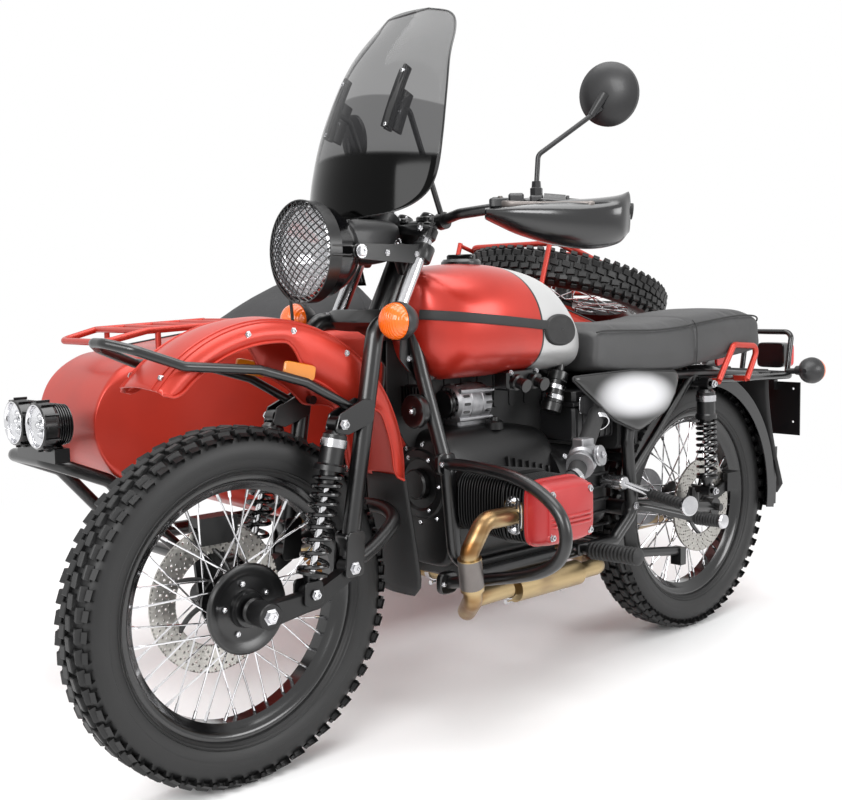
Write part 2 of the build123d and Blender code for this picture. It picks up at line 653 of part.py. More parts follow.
def seat():
    """Bench seat, narrow in front and stepped up for the passenger."""
    outline = [(212, 744), (215, 800), (250, 838), (380, 830), (520, 838), (640, 872), (760, 884), (930, 876),
               (985, 850), (990, 760), (760, 744), (500, 736)]
    side_view = side_plate(outline, -150, 150)
    plan = [(-80, 205), (-140, 400), (-150, 600), (-140, 940), (-100, 992), (100, 992), (140, 940), (150, 600),
            (140, 400), (80, 205)]
    cut = Pos(0, 0, 700) * extrude(make_face(Polyline(*plan, close=True)), 220)
    return side_view & cut


def side_cover(side):
    """Pointed side panel under the seat."""
    outline = [(130, 740), (520, 732), (512, 690), (330, 604), (170, 700)]
    return side_plate(outline, *sorted((side * 130, side * 142)))


def airbox():
    """Air filter housing and battery tray between the frame tubes."""
    return fuse(block((-88, 88), (170, 330), (575, 700)), block((-130, 130), (200, 300), (640, 690)))


def rear_fender():
    """Rear fender with its flap and the side stays to the rack."""
    centre = (0, 715, 345)
    ring = fender(centre, 392, 84, -8, 96, 60)
    flap = side_plate([(1098, 300), (1106, 300), (1112, 470), (1096, 470)], -76, 76)
    return fuse(ring, flap)


def rear_rack():
    """Tube rack round the tail with the hoop over the lamp."""
    loop = tube([(114, 640, RACK_Z), (114, 900, RACK_Z - 8), (100, 1130, RACK_Z - 16), (60, 1190, RACK_Z - 18),
                 (-60, 1190, RACK_Z - 18), (-100, 1130, RACK_Z - 16), (-114, 900, RACK_Z - 8),
                 (-114, 640, RACK_Z)], 10, 30)
    hoop = tube([(76, 1160, RACK_Z - 18), (76, 1186, 806), (-76, 1186, 806), (-76, 1160, RACK_Z - 18)], 8, 22)
    cross = [rod((-108, y, RACK_Z - 6), (108, y, RACK_Z - 6), 8) for y in (1020,)]
    return fuse(loop, hoop, *cross)


def grab_handle(side):
    """Passenger's grab handle on the rack."""
    x = side * 158
    handle = tube([(x, 676, RACK_Z), (x, 745, 788), (x, 866, 780), (x, 810, RACK_Z - 6)], 8, 18)
    feet = [rod((side * 114, y, RACK_Z - 3), (x, y, RACK_Z - 3), 8) for y in (680, 808)]
    return fuse(handle, *feet)


def tail_lamp():
    """Tail lamp housing with its lens and the holder for a plate."""
    house = block((-62, 62), (1110, 1172), (700, 768))
    foot = block((-30, 30), (1120, 1190), (676, 702))
    return fuse(house, foot)


def tail_lens():
    """Red lens on the lamp's rear face."""
    return block((-58, 58), (1172, 1196), (704, 764))


def plate_bracket():
    """Perforated bracket below the rack for a registration plate."""
    sheet = block((-95, 95), (1204, 1208), (495, 655))
    arm = block((-20, 20), (1186, 1206), (630, RACK_Z - 18))
    holes = [Pos(x, 1206, z) * Rot(90, 0, 0) * Cylinder(PLATE_HOLE / 2, 20)
             for x in (-PLATE_PITCH / 2, PLATE_PITCH / 2) for z in (535, 635)]
    return fuse(sheet, arm) - holes


PLATE_PITCH = 146.0
PLATE_HOLE = 7.0


def swingarm():
    """Rear fork from its pivot to the axle, with the shock's feet."""
    pieces = [rod((-104, *SWING_PIVOT), (104, *SWING_PIVOT), 20),
              rod((-118, REAR_AXLE_Y, AXLE_Z), (130, REAR_AXLE_Y, AXLE_Z), AXLE_R)]
    for side in (-1, 1):
        x = side * ARM_X
        pieces.append(tube([(side * 76, 352, 396), (x, 450, 388), (x, REAR_AXLE_Y - 10, AXLE_Z)], 17, 30))
        pieces.append(rod((x, REAR_SHOCK_FOOT[0], 356), (x, REAR_SHOCK_FOOT[0], 410), 14))
        pieces.append(rod((x, *REAR_SHOCK_FOOT), (side * (REAR_SHOCK_X - SHOCK_EYE_HALF), *REAR_SHOCK_FOOT), 10))
        pieces.append(rod((side * 82, REAR_AXLE_Y, AXLE_Z), (side * 112, REAR_AXLE_Y, AXLE_Z), 24))
    return fuse(*pieces)


def shock_mounts():
    """Studs on the rack's cross tube that carry the rear shocks' tops."""
    return [fuse(rod((side * 90, *REAR_SHOCK_TOP), (side * (REAR_SHOCK_X - SHOCK_EYE_HALF), *REAR_SHOCK_TOP), 10),
                 rod((side * 102, 645, 690), (side * 102, 645, 712), 9)) for side in (-1, 1)]


def final_drive():
    """Bevel housing right of the rear wheel, drive shaft from the gearbox and cross shaft to the sidecar."""
    house = turned([(-148, AXLE_R), (-148, 50), (-130, 74), (-124, 81), (-119, 81), (-119, AXLE_R)],
                   (0, REAR_AXLE_Y, AXLE_Z))
    snout = rod((-132, REAR_AXLE_Y - 40, AXLE_Z), (-120, 480, 417), 18)
    shaft = rod((-121, 490, 421), (-62, 320, 446), 12)
    joint = Pos(-118, 476, 424) * Sphere(26)
    cross = rod((-146, REAR_AXLE_Y - 8, AXLE_Z), (-1062, SIDE_AXLE_Y, AXLE_Z), 15)
    return fuse(house, snout, shaft, joint, cross)


def pegs():
    """Rider's and passenger's footpegs with their brackets."""
    pieces = []
    for side in (-1, 1):
        reach = 300 if side > 0 else 225
        bar = rod((side * 110, 150, 326), (side * 214, 150, 330), 11)
        rubber = rod((side * 205, 150, 330), (side * reach, 154, 336), 22)
        pieces.append(fuse(bar, rubber))
        arm = fuse(rod((side * 118, 362, 402), (side * 188, 518, 358), 9),
                   rod((side * 186, 520, 356), (side * 276, 526, 358), 17))
        pieces.append(arm)
    return pieces


def kick_starter():
    """Kick starter's ribbed bar and its arm at the gearbox."""
    boss = rod((78, 292, 470), (146, 292, 470), 18)
    arm = rod((138, 292, 470), (142, 400, 428), 10)
    bar = rod((134, 396, 430), (290, 350, 424), 14)
    end = rod((286, 351, 424), (296, 348, 424), 24)
    return fuse(boss, arm, bar, end)


def alternator():
    """Alternator on top of the crankcase."""
    body = rod((0, -160, 690), (0, -50, 690), 44)
    foot = block((-30, 30), (-150, -60), (638, 660))
    return fuse(body, foot)


def throttle_body(side):
    """Throttle body and inlet stub from the head back to the airbox."""
    y = CYL_Y[side]
    x = side * 290
    stub = tube([(x, y + 60, 520), (x, y + 120, 536), (side * 210, y + 230, 580), (side * 126, 215, 650)], 21, 40)
    body = rod((x, y + 70, 524), (x, y + 118, 536), 32)
    return fuse(stub, body)


# ---- sidecar ------------------------------------------------------------------------------------
def car_solid(inset):
    """Sidecar hull inset by a wall: its side view drawn across, trimmed to its plan."""
    slope = math.tan(deg(DECK_DROP))
    tail_top = DECK_FRONT[1] - (TAIL_Y - DECK_FRONT[0]) * slope
    nose_top = (NOSE_Y, NOSE_Z + NOSE_R)
    nose_low = (NOSE_Y + 30, NOSE_Z - NOSE_R + 3)
    arc = ThreePointArc(nose_low, (NOSE_Y - NOSE_R, NOSE_Z - 4), nose_top)
    rest = Polyline(nose_top, (-150, 856), (520, 862), (600, DECK_FRONT[1]), DECK_FRONT, (TAIL_Y, tail_top),
                    (TAIL_Y + 24, tail_top - 40), (TAIL_Y - 20, 470), (TAIL_Y - 110, CAR_FLOOR + 60),
                    (620, CAR_FLOOR + 60), (520, CAR_FLOOR), (-120, CAR_FLOOR), nose_low)
    side_view = offset(make_face([*arc.edges(), *rest.edges()]), -inset) if inset else make_face(
        [*arc.edges(), *rest.edges()])
    across = Plane(origin=(CAR_X - 400, 0, 0), x_dir=(0, 1, 0), z_dir=(1, 0, 0)) * extrude(side_view, 800)
    half = [(CAR_NOSE_HALF, -760), (CAR_NOSE_HALF + 26, -640), (CAR_HALF, -100), (CAR_HALF, 900),
            (CAR_HALF - 40, TAIL_Y + 40)]
    plan = make_face(Polyline(*[(CAR_X + x, y) for x, y in half], *[(CAR_X - x, y) for x, y in reversed(half)],
                              close=True))
    if inset:
        plan = offset(plan, -inset)
    return across & (Pos(0, 0, 200) * extrude(plan, 900))


COCKPIT = (-110.0, 520.0)  # Y from the dash to the seat back
BOOT_HALF = 215.0


def car_body():
    """Sheet hull, open at the cockpit and under the boot lid."""
    shell = car_solid(0) - car_solid(CAR_WALL)
    cockpit = block((CAR_X - 225, CAR_X + 225), COCKPIT, (700, 1000))
    boot = deck_block(BOOT_HALF, LID_EDGE, 660, -60, 60)
    bulkhead = block((CAR_X - CAR_HALF + CAR_WALL, CAR_X + CAR_HALF - CAR_WALL), (590, 594),
                     (CAR_FLOOR + 52, 890))
    return fuse(shell - cockpit - boot, bulkhead, hull_hinges())


def deck_block(half, start, end, low, high):
    """Box on the sloping boot deck: its half width, its run down the slope and its heights over it."""
    box = block((CAR_X - half, CAR_X + half), (start, end), (low, high))
    return Pos(0, DECK_FRONT[0], DECK_FRONT[1]) * Rot(-DECK_DROP, 0, 0) * box


def on_deck(x, along, up):
    """Point given by its place along the boot deck and its height over it."""
    drop = deg(DECK_DROP)
    return Vector(CAR_X + x, DECK_FRONT[0] + along * math.cos(drop) + up * math.sin(drop),
                  DECK_FRONT[1] - along * math.sin(drop) + up * math.cos(drop))


SPARE_ALONG = 393.0
SPARE_UP = 135.0
LID_T = 10.0
LID_EDGE = 40.0  # the opening's front edge along the deck
LID_PIVOT_UP = 14.0  # the hinge pin over the deck
LID_PIN_R = 4.0


def lid_bar(start, end, radius):
    """Round piece on the lid's hinge axis between two distances from the sidecar's middle plane."""
    return rod(on_deck(start, LID_EDGE, LID_PIVOT_UP), on_deck(end, LID_EDGE, LID_PIVOT_UP), radius)


def hull_hinges():
    """Hinge pins with the lugs that hold their ends on the hull."""
    pieces = []
    for side in (-1, 1):
        pieces.append(lid_bar(side * 90, side * 170, LID_PIN_R))
        for x in (94, 166):
            lug = fuse(lid_bar(side * (x - 5), side * (x + 5), 8),
                       deck_block(5, LID_EDGE - 10, LID_EDGE - 2, -3, LID_PIVOT_UP).moved(Location((side * x, 0, 0))))
            pieces.append(lug)
    return fuse(*pieces)


def lid_knuckles():
    """Knuckles on the boot lid, bored for the hinge pins."""
    pieces = []
    for side in (-1, 1):
        eye = lid_bar(side * 106, side * 154, 8)
        strap = deck_block(24, LID_EDGE, LID_EDGE + 50, 0, 5).moved(Location((side * 130, 0, 0)))
        web = deck_block(24, LID_EDGE + 1, LID_EDGE + 8, 0, LID_PIVOT_UP).moved(Location((side * 130, 0, 0)))
        bore = lid_bar(side * 80, side * 180, LID_PIN_R + PIN_GAP)
        pieces.append(fuse(eye, strap, web) - bore)
    return pieces


def boot_lid():
    """Boot lid in the deck's opening with the spare wheel's pedestal."""
    lid = deck_block(BOOT_HALF - CLEAR, LID_EDGE + CLEAR, 660 - CLEAR, -LID_T, 0)
    foot, top = on_deck(0, SPARE_ALONG, -1), on_deck(0, SPARE_ALONG, SPARE_UP - HUB_HALF)
    pedestal = fuse(rod(foot, top, 48), rod(foot, on_deck(0, SPARE_ALONG, SPARE_UP + 60), AXLE_R))
    return fuse(lid, pedestal, *lid_knuckles())


def spare(shape):
    """A wheel piece laid on the boot lid's pedestal."""
    return Pos(*on_deck(0, SPARE_ALONG, SPARE_UP)) * Rot(-DECK_DROP, 0, 0) * Rot(0, 90, 0) * shape


def boot_rack():
    """Luggage rack over the spare wheel, standing on the lid's corners."""
    up = SPARE_UP + 74
    front, rear, half = 112, 640, 200
    middle = 380
    loops = [tube([on_deck(half, middle, up), on_deck(half, end, up), on_deck(-half, end, up),
                   on_deck(-half, middle, up)], 9, 36) for end in (front, rear)]
    bars = [rod(on_deck(-half, a, up), on_deck(half, a, up), 7) for a in (220, 330, 440, 550)]
    legs = [rod(on_deck(x, a, -1), on_deck(x, a, up), 8) for x in (-half, half) for a in (64,)]
    ties = [rod(on_deck(x, 64, up - 8), on_deck(x, 170, up - 8), 7) for x in (-half, half)]
    return fuse(*loops, *bars, *legs, *ties)


def nose_rack():
    """Tube rack on the sidecar's nose."""
    half = 130
    loop = tube([(CAR_X + half, -275, 876), (CAR_X + half, -590, 862), (CAR_X + half - 16, -690, 838),
                 (CAR_X - half + 16, -690, 838), (CAR_X - half, -590, 862), (CAR_X - half, -275, 876)], 8, 30)
    bars = [rod((CAR_X - half, y, z), (CAR_X + half, y, z), 7)
            for y, z in ((-590, 862), (-510, 865.5), (-430, 869), (-350, 872.6), (-280, 875.6))]
    legs = [rod((CAR_X + x, y, z), (CAR_X + x, y, top), 7) for x in (-half, half)
            for y, z, top in ((-560, 800, 862), (-300, 830, 872))]
    return fuse(loop, *bars, *legs) - car_solid(0)


def tonneau():
    """Fabric cover over the cockpit, rising in front to the small screen."""
    outline = [(-255, 846), (-30, 974), (6, 974), (60, 905), (540, 882), (540, 866), (500, 863), (-150, 857)]
    return Pos(CAR_X, 0, 0) * side_plate(outline, -250, 250) - car_solid(0)


def car_screen():
    """Small folding screen at the front of the cockpit."""
    pane = Pos(CAR_X, -12, 0) * block((-200, 200), (-3, 3), (974, 1032))
    return pane


CAR_SHOCK_X = -1032.0
CAR_SHOCK_TOP = (SIDE_AXLE_Y - 90, 640.0)
CAR_SHOCK_FOOT = (SIDE_AXLE_Y - 60, 380.0)


def car_frame():
    """Tubes under and beside the hull, joined to the motorcycle at four places."""
    low = 306
    near, far = CAR_X + 240, CAR_X - 200
    y_arm = SIDE_AXLE_Y - 215
    y_post = SIDE_AXLE_Y - 150
    pieces = [rod((x, -520, low), (x, 880, low), 20) for x in (near, far)]
    for y in (-500, -60, 560, 860):
        pieces.append(rod((near, y, low), (far, y, low), 15))
    for x in (near, far):
        pieces += [block((x - 28, x + 28), (y - 24, y + 24), (low, CAR_FLOOR)) for y in (-60, 470)]
        pieces.append(rod((x, 800, low), (x, 800, CAR_FLOOR + 64), 15))
    pieces.append(rod((near, -140, low), (-CRADLE_X, -140, CRADLE_Z), 14))
    pieces.append(rod((near, 400, low), (-CRADLE_X, 280, CRADLE_Z), 14))
    pieces.append(rod((near, -500, low), (-66, -286, 730), 13))
    pieces.append(rod((near, 560, low), (-96, 560, 716), 13))
    pieces.append(rod((far, y_arm, low), (-1046, y_arm, low), 16))
    pieces.append(rod((far, y_post, low), (-1002, y_post, low), 15))
    pieces.append(rod((-1002, y_post, low - 8), (-1002, y_post, 690), 13))
    pieces.append(rod((-1002, y_post, 672), (1 - TRACK + 85, y_post, 672), 8))
    pieces.append(rod((-1002, y_post, 640), (-1002, CAR_SHOCK_TOP[0], 640), 10))
    pieces.append(rod((-1002, *CAR_SHOCK_TOP), (CAR_SHOCK_X + SHOCK_EYE_HALF, *CAR_SHOCK_TOP), 12))
    return fuse(*pieces) - car_solid(0)


def car_arm():
    """Trailing arm, stub axle and shock mount of the sidecar wheel."""
    y = SIDE_AXLE_Y
    arm = tube([(-1040, y - 240, 304), (-1040, y - 120, 318), (-1040, y - 20, AXLE_Z)], 18, 40)
    boss = rod((-1072, y, AXLE_Z), (-1020, y, AXLE_Z), 28)
    axle = rod((-1060, y, AXLE_Z), (-1200, y, AXLE_Z), AXLE_R)
    mount = rod((-1040, y - 60, 330), (-1040, y - 60, CAR_SHOCK_FOOT[1] - SHOCK_EYE_R), 12)
    return fuse(arm, boss, axle, mount)


def car_fender():
    """Fender over the sidecar wheel."""
    centre = (-TRACK, SIDE_AXLE_Y, AXLE_Z)
    return fender(centre, 404, 86, 8, 172, 64)


def bumper():
    """Front loop of the sidecar's frame with the lamps' bracket."""
    near, far = CAR_X + 130, CAR_X - 130
    loop = tube([(near, -500, 306), (near, -590, 396), (near, -700, 520), (near - 10, -830, 575),
                 (far + 10, -830, 575), (far, -700, 520), (far, -590, 396), (far, -500, 306)], 16, 50)
    bracket = block((CAR_X - 20, CAR_X + 180), (-850, -815), (580, 612))
    return fuse(loop, bracket)


def spot_lamp(x):
    """Round driving lamp with a finned back."""
    body = turned_y([(0, 0), (0, 50), (34, 50), (34, 40), (60, 34), (60, 0)], (x, -868, 662))
    fins = [Pos(x, -868 + a, 662) * Rot(90, 0, 0) * Cylinder(48, 3) for a in (40, 47, 54)]
    foot = block((x - 14, x + 14), (-850, -820), (606, 640))
    return fuse(body, *fins, foot)


def caliper(disc, centre, half, plate_x, axle, bore_r):
    """Brake caliper over its disc's edge, on a plate from the axle; disc is its X and radius."""
    x, radius = disc
    way = math.copysign(1, x)
    y, z = centre
    body = block(sorted((x - way * 18, x + way * 26)), (y - half[0], y + half[0]), (z - half[1], z + half[1]))
    slot = rod((x - way * CLEAR, *axle), (x + way * (DISC_T + CLEAR), *axle), radius + CLEAR)
    plate = side_plate([(axle[0] - 26, axle[1]), (y - 40, z), (y + 40, z), (axle[0] + 26, axle[1])],
                       *sorted(plate_x))
    eye = rod((plate_x[0], *axle), (plate_x[1], *axle), 30)
    return fuse(body - slot, plate, eye) - rod((-200, *axle), (200, *axle), bore_r)


def centre_stand():
    """Folded centre stand: pivot tube, two legs and their feet."""
    pivot = rod((-92, *STAND_PIVOT), (92, *STAND_PIVOT), 12)
    legs, feet = [], []
    for side in (-1, 1):
        foot = (side * STAND_FOOT_X, STAND_PIVOT[0] + STAND_REACH, STAND_PIVOT[1] - 34)
        legs.append(rod((side * 78, *STAND_PIVOT), foot, 12))
        feet.append(block((foot[0] - 16, foot[0] + 16), (foot[1] - 12, foot[1] + 12), (foot[2] - 36, foot[2] + 10)))
    return fuse(pivot, *legs, *feet) - rod((-100, *STAND_PIVOT), (100, *STAND_PIVOT), STAND_PIN_R + PIN_GAP)


STAND_PIVOT = (332.0, 278.0)
STAND_PIN_R = 6.0
STAND_REACH = 262.0
STAND_FOOT_X = TYRE_HALF + 34.0


def stand_lugs():
    """Plates under the cradle that hold the stand's pivot."""
    plates = [side_plate([(290, 320), (340, 330), (352, 262), (314, 262)], *sorted((side * 97, side * 103)))
              for side in (-1, 1)]
    return plates + [rod((-100, *STAND_PIVOT), (100, *STAND_PIVOT), STAND_PIN_R)]


def car_lamps():
    """Marker lamps on the front and the rear of the sidecar's fender."""
    lamps = []
    for face, angle in ((-1, 130), (1, 50)):
        y = SIDE_AXLE_Y + 430 * math.cos(deg(angle))
        z = AXLE_Z + 430 * math.sin(deg(angle))
        bowl = turned_y([(0, 0), (0, 26), (face * -40, 20), (face * -40, 0)], (-TRACK, y, z))
        lens = turned_y([(0, 0), (0, 26), (face * 16, 22), (face * 20, 0)], (-TRACK, y, z))
        foot = rod((-TRACK, y - face * 20, z), (-TRACK, y - face * 20, z - 60), 8)
        lamps.append(whole(fuse(bowl, lens, foot) - car_fender()))
    return lamps


# ---- everything, node by node -------------------------------------------------------------------
plain_wheel = fuse(rim(), hub(), *spokes())
wheel_tyre = tyre()
WHEELS = [  # name, centre, disc radius, disc place along the axle, carrier radius
    ("front", (0, FRONT_AXLE_Y, AXLE_Z), FRONT_DISC_R, -62, 104),
    ("rear", (0, REAR_AXLE_Y, AXLE_Z), REAR_DISC_R, 62, 92),
    ("sidecar", (-TRACK, SIDE_AXLE_Y, AXLE_Z), SIDE_DISC_R, 44, 88),
]
for wheel, centre, disc_r, disc_x, carrier_r in WHEELS:
    write(f"{wheel}_tyre", Pos(*centre) * wheel_tyre)
    write(f"{wheel}_wheel", Pos(*centre) * fuse(plain_wheel, brake_disc(disc_r, disc_x, carrier_r)))

bike_frame = fuse(frame(), *stand_lugs(), *shock_mounts())
fork_piece = fork()
bars = fuse(handlebar(), controls(), mirrored(controls()))
front_brake = caliper((-62, FRONT_DISC_R), (-735, 485), (42, 27), (-92, -84), (FRONT_AXLE_Y, AXLE_Z), 24)
hull = car_solid(0)
chassis = car_frame() - bike_frame
fuel = tank()
case = crankcase() - bike_frame
rack = rear_rack() - bike_frame
rear_arm = swingarm() - bike_frame
air = airbox() - bike_frame

write("fork", fork_piece)
write("leading_links", links())
write("front_shocks", *[shock(SHOCK_FOOT, SHOCK_TOP, side * LEG_X, SPRING_R, 8) for side in (-1, 1)])
write("front_fender", front_fender() - fork_piece)
write("front_mud_flap", front_flap())
write("fender_guard", guard_loop() - fork_piece)
write("front_caliper", front_brake)
write("headlamp", fuse(headlamp_shell(), headlamp_guard()) - fork_piece)
write("headlamp_glass", headlamp_glass())
write("windscreen", windscreen())
write("screen_stays", *[whole(screen_stay(side) - bars - windscreen()) for side in (-1, 1)])
write("handlebar", bars)
write("brake_hose", whole(fuse(brake_hose(), hose_clip(790), hose_clip(560)) - bars - fork_piece - front_brake))
write("grips", grip() - bars, mirrored(grip()) - bars)
write("mirrors", mirror_arm() - bars, mirrored(mirror_arm()) - bars)
write("hand_guards", *[g - bars - grip() - mirrored(grip()) for g in (hand_guard(), mirrored(hand_guard()))])
write("front_indicators", *[indicator(side * 165, -446, 884, (side * 108, -436, 884), -1) - fork_piece
                            for side in (-1, 1)])
write("frame", bike_frame)
write("crankcase", case)
write("cylinders", *[cylinder(side) - bike_frame for side in (-1, 1)])
write("valve_covers", valve_cover(-1), valve_cover(1))
write("exhaust", fuse(*[exhaust_header(side) - cylinder(side) for side in (-1, 1)], collector()) - bike_frame)
write("crash_bars", *[crash_bar(side) - bike_frame for side in (-1, 1)])
write("fuel_tank", whole(fuel))
write("tank_straps_and_cap", *[s - fuel - bike_frame for s in tank_straps()], filler_cap() - fuel)
write("seat", seat() - fuel - bike_frame)
write("side_covers", side_cover(-1), side_cover(1))
write("airbox", air)
write("rear_fender", rear_fender() - bike_frame - rack)
write("rear_rack", rack)
write("grab_handles", *[grab_handle(side) - rack for side in (-1, 1)])
write("tail_lamp_and_markers", fuse(tail_lamp(), tail_lens()) - rack, *car_lamps())
write("plate_bracket", plate_bracket() - rack)
write("rear_indicators", *[indicator(side * 165, 1145, 697, (side * 80, 1166, RACK_Z - 10), 1) - rack
                           for side in (-1, 1)])
write("swingarm", rear_arm)
write("rear_shocks", *[shock(REAR_SHOCK_FOOT, REAR_SHOCK_TOP, side * REAR_SHOCK_X, 28, 8) for side in (-1, 1)],
      shock(CAR_SHOCK_FOOT, CAR_SHOCK_TOP, CAR_SHOCK_X, 24, 7))
write("rear_calipers", caliper((62, REAR_DISC_R), (860, 398), (30, 26), (76, 82), (REAR_AXLE_Y, AXLE_Z), AXLE_R) - rear_arm)
write("final_drive", final_drive() - rear_arm - case)
write("footpegs_and_kick_starter", *[p - bike_frame for p in pegs()], kick_starter() - case)
write("throttle_bodies_and_alternator", *[throttle_body(side) - cylinder(side) - air - bike_frame
                                          for side in (-1, 1)], alternator() - case)
write("centre_stand", centre_stand())
write("sidecar_body", car_body())
write("boot_lid", boot_lid())
write("spare_tyre", spare(wheel_tyre))
write("spare_wheel", spare(plain_wheel))
write("boot_rack", boot_rack() - boot_lid())
write("nose_rack", nose_rack())
write("tonneau_cover", tonneau())
write("sidecar_screen", car_screen() - tonneau())
write("sidecar_frame", chassis)
write("sidecar_arm", car_arm() - chassis - final_drive())
write("sidecar_fender", car_fender())
write("bumper", bumper() - chassis - hull)
write("driving_lamps", *[spot_lamp(CAR_X + x) - bumper() for x in (14, 146)])
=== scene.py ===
"""Sidecar motorcycle: surfaces, finishes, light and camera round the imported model.

Sizes are in millimetres in machine coordinates, with X = 0 in the motorcycle's middle plane and
positive to the rider's left, Y = 0 half way between its axles and negative forwards, and Z = 0 on
the ground. Form.piece moves them by ORIGIN, turns them into metres and makes the Blender mesh.
"""
import json
import logging
import math
from dataclasses import dataclass
from enum import Enum

import bmesh
import bpy
import numpy as np
from mathutils import Matrix

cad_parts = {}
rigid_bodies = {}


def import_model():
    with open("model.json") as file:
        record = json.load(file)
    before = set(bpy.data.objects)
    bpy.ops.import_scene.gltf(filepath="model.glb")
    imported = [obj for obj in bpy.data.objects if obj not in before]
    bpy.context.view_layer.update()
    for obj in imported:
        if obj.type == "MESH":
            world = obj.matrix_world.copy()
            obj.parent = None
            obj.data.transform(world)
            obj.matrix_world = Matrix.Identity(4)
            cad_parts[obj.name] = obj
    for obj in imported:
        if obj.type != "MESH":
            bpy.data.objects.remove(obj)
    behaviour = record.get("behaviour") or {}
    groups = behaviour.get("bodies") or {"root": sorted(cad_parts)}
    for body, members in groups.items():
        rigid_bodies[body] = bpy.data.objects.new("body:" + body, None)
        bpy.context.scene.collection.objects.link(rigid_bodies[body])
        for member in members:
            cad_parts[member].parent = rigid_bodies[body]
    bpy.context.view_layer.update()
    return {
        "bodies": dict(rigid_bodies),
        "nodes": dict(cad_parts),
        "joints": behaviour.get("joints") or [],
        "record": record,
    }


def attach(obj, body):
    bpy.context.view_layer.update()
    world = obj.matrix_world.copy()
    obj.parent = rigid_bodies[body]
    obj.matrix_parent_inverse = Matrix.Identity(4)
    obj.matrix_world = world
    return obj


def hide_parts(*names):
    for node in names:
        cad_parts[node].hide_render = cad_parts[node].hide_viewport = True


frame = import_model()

LOG = logging.getLogger("sidecar_motorcycle")
ORIGIN = np.array([377.0, -156.0, 0.0])

Triple = tuple[float, float, float]
Pairs = list[tuple[float, float]]


class Axis(Enum):
    """Direction that a turned piece turns about."""

    X = (1.0, 0.0, 0.0)
    Y = (0.0, 1.0, 0.0)
    Z = (0.0, 0.0, 1.0)


class Face(Enum):
    """Directions of across and up for the outline of a flat piece."""

    SIDE = ((0, 1, 0), (0, 0, 1))
    FRONT = ((1, 0, 0), (0, 0, 1))
    DECK = ((1, 0, 0), (0, 1, 0))


# ---- surfaces -----------------------------------------------------------------------------------
def xyz(x: np.ndarray | float, y: np.ndarray | float, z: np.ndarray | float) -> np.ndarray:
    """Points whose coordinates are three arrays or numbers that broadcast together."""
    return np.stack(np.broadcast_arrays(x, y, z), -1)


def unit(vectors: np.ndarray) -> np.ndarray:
    """Vectors divided by their lengths."""
    return vectors / np.maximum(np.linalg.norm(vectors, axis=-1, keepdims=True), 1e-9)


def square_to(direction: np.ndarray) -> tuple[np.ndarray, np.ndarray]:
    """Two unit vectors square to a direction and to each other.

    Args:
        direction: unit vector.

    Returns:
        The first vector, level where it can be, and the direction crossed with it.
    """
    reference = np.array([0.0, 0.0, 1.0]) if abs(direction[2]) < 0.9 else np.array([0.0, 1.0, 0.0])
    first = unit(np.cross(direction, reference))
    return first, np.cross(direction, first)


def spun(profile: Pairs, centre: Triple, axis: Axis | tuple, sides: int = 64) -> np.ndarray:
    """Outline turned about an axis: centre + along·axis + radius·(cos t·first + sin t·second).

    Args:
        profile: (along, radius) pairs in order.
        centre: a point of the axis.
        axis: its direction.
        sides: steps of a full turn.

    Returns:
        Grid of points, one row for each pair and one column for each step.
    """
    line = unit(np.array(getattr(axis, "value", axis), float))
    first, second = square_to(line)
    outline = np.array(profile, float)
    t = np.linspace(0, 2 * np.pi, sides, endpoint=False)
    around = np.cos(t)[:, None] * first + np.sin(t)[:, None] * second
    return np.array(centre) + outline[:, 0, None, None] * line + outline[:, 1, None, None] * around[None]


def hoop(low: float, high: float, inner: float, outer: float) -> Pairs:
    """Closed outline of a square-edged ring, from low to high along its axis."""
    return [(low, inner), (low, outer), (high, outer), (high, inner), (low, inner)]


def turned(points: np.ndarray, axis: Axis, degrees: float, centre: Triple = (0, 0, 0)) -> np.ndarray:
    """Points turned by the right-hand rule about an axis through a centre."""
    matrix = np.array(Matrix.Rotation(math.radians(degrees), 3, axis.name))
    return (points - np.array(centre)) @ matrix.T + np.array(centre)


def smooth(points: list, steps: int = 8) -> np.ndarray:
    """Catmull-Rom curve through points: a cubic between two that leans on one more each side.

    Args:
        points: two or more points of any dimension.
        steps: samples for each run between two of them.

    Returns:
        Array of points along the curve.
    """
    p = np.array(points, float)
    p = np.vstack([2 * p[0] - p[1], p, 2 * p[-1] - p[-2]])
    t = np.linspace(0, 1, steps, endpoint=False)[None, :, None]
    a, b, c, d = p[:-3, None], p[1:-2, None], p[2:-1, None], p[3:, None]
    curve = 0.5 * (2 * b + (c - a) * t + (2 * a - 5 * b + 4 * c - d) * t ** 2 +
                   (3 * b - a - 3 * c + d) * t ** 3)
    return np.vstack([curve.reshape(-1, p.shape[1]), p[-2]])


def rounded(points: list, bend: float, steps: int = 7) -> np.ndarray:
    """Straight runs whose corners are arcs of one radius, as a bent tube's middle line.

    Args:
        points: corners and both ends.
        bend: radius of every arc, cut down where a run is short.
        steps: samples for each arc.

    Returns:
        Array of points along the line.
    """
    p = [np.array(q, float) for q in points]
    rows = [p[0][None]]
    for before, corner, after in zip(p[:-2], p[1:-1], p[2:]):
        back, on = unit(before - corner), unit(after - corner)
        half = math.acos(float(np.clip(back @ on, -1, 1))) / 2
        room = 0.49 * min(np.linalg.norm(before - corner), np.linalg.norm(after - corner))
        reach = min(bend / math.tan(half), room)
        middle = corner + unit(back + on) * reach / math.cos(half)
        start, end = corner + back * reach - middle, corner + on * reach - middle
        angle = math.pi - 2 * half
        t = np.linspace(0, 1, steps)[:, None]
        rows.append(middle + (np.sin((1 - t) * angle) * start + np.sin(t * angle) * end) /
                    max(math.sin(angle), 1e-6))
    return np.vstack(rows + [p[-1][None]])


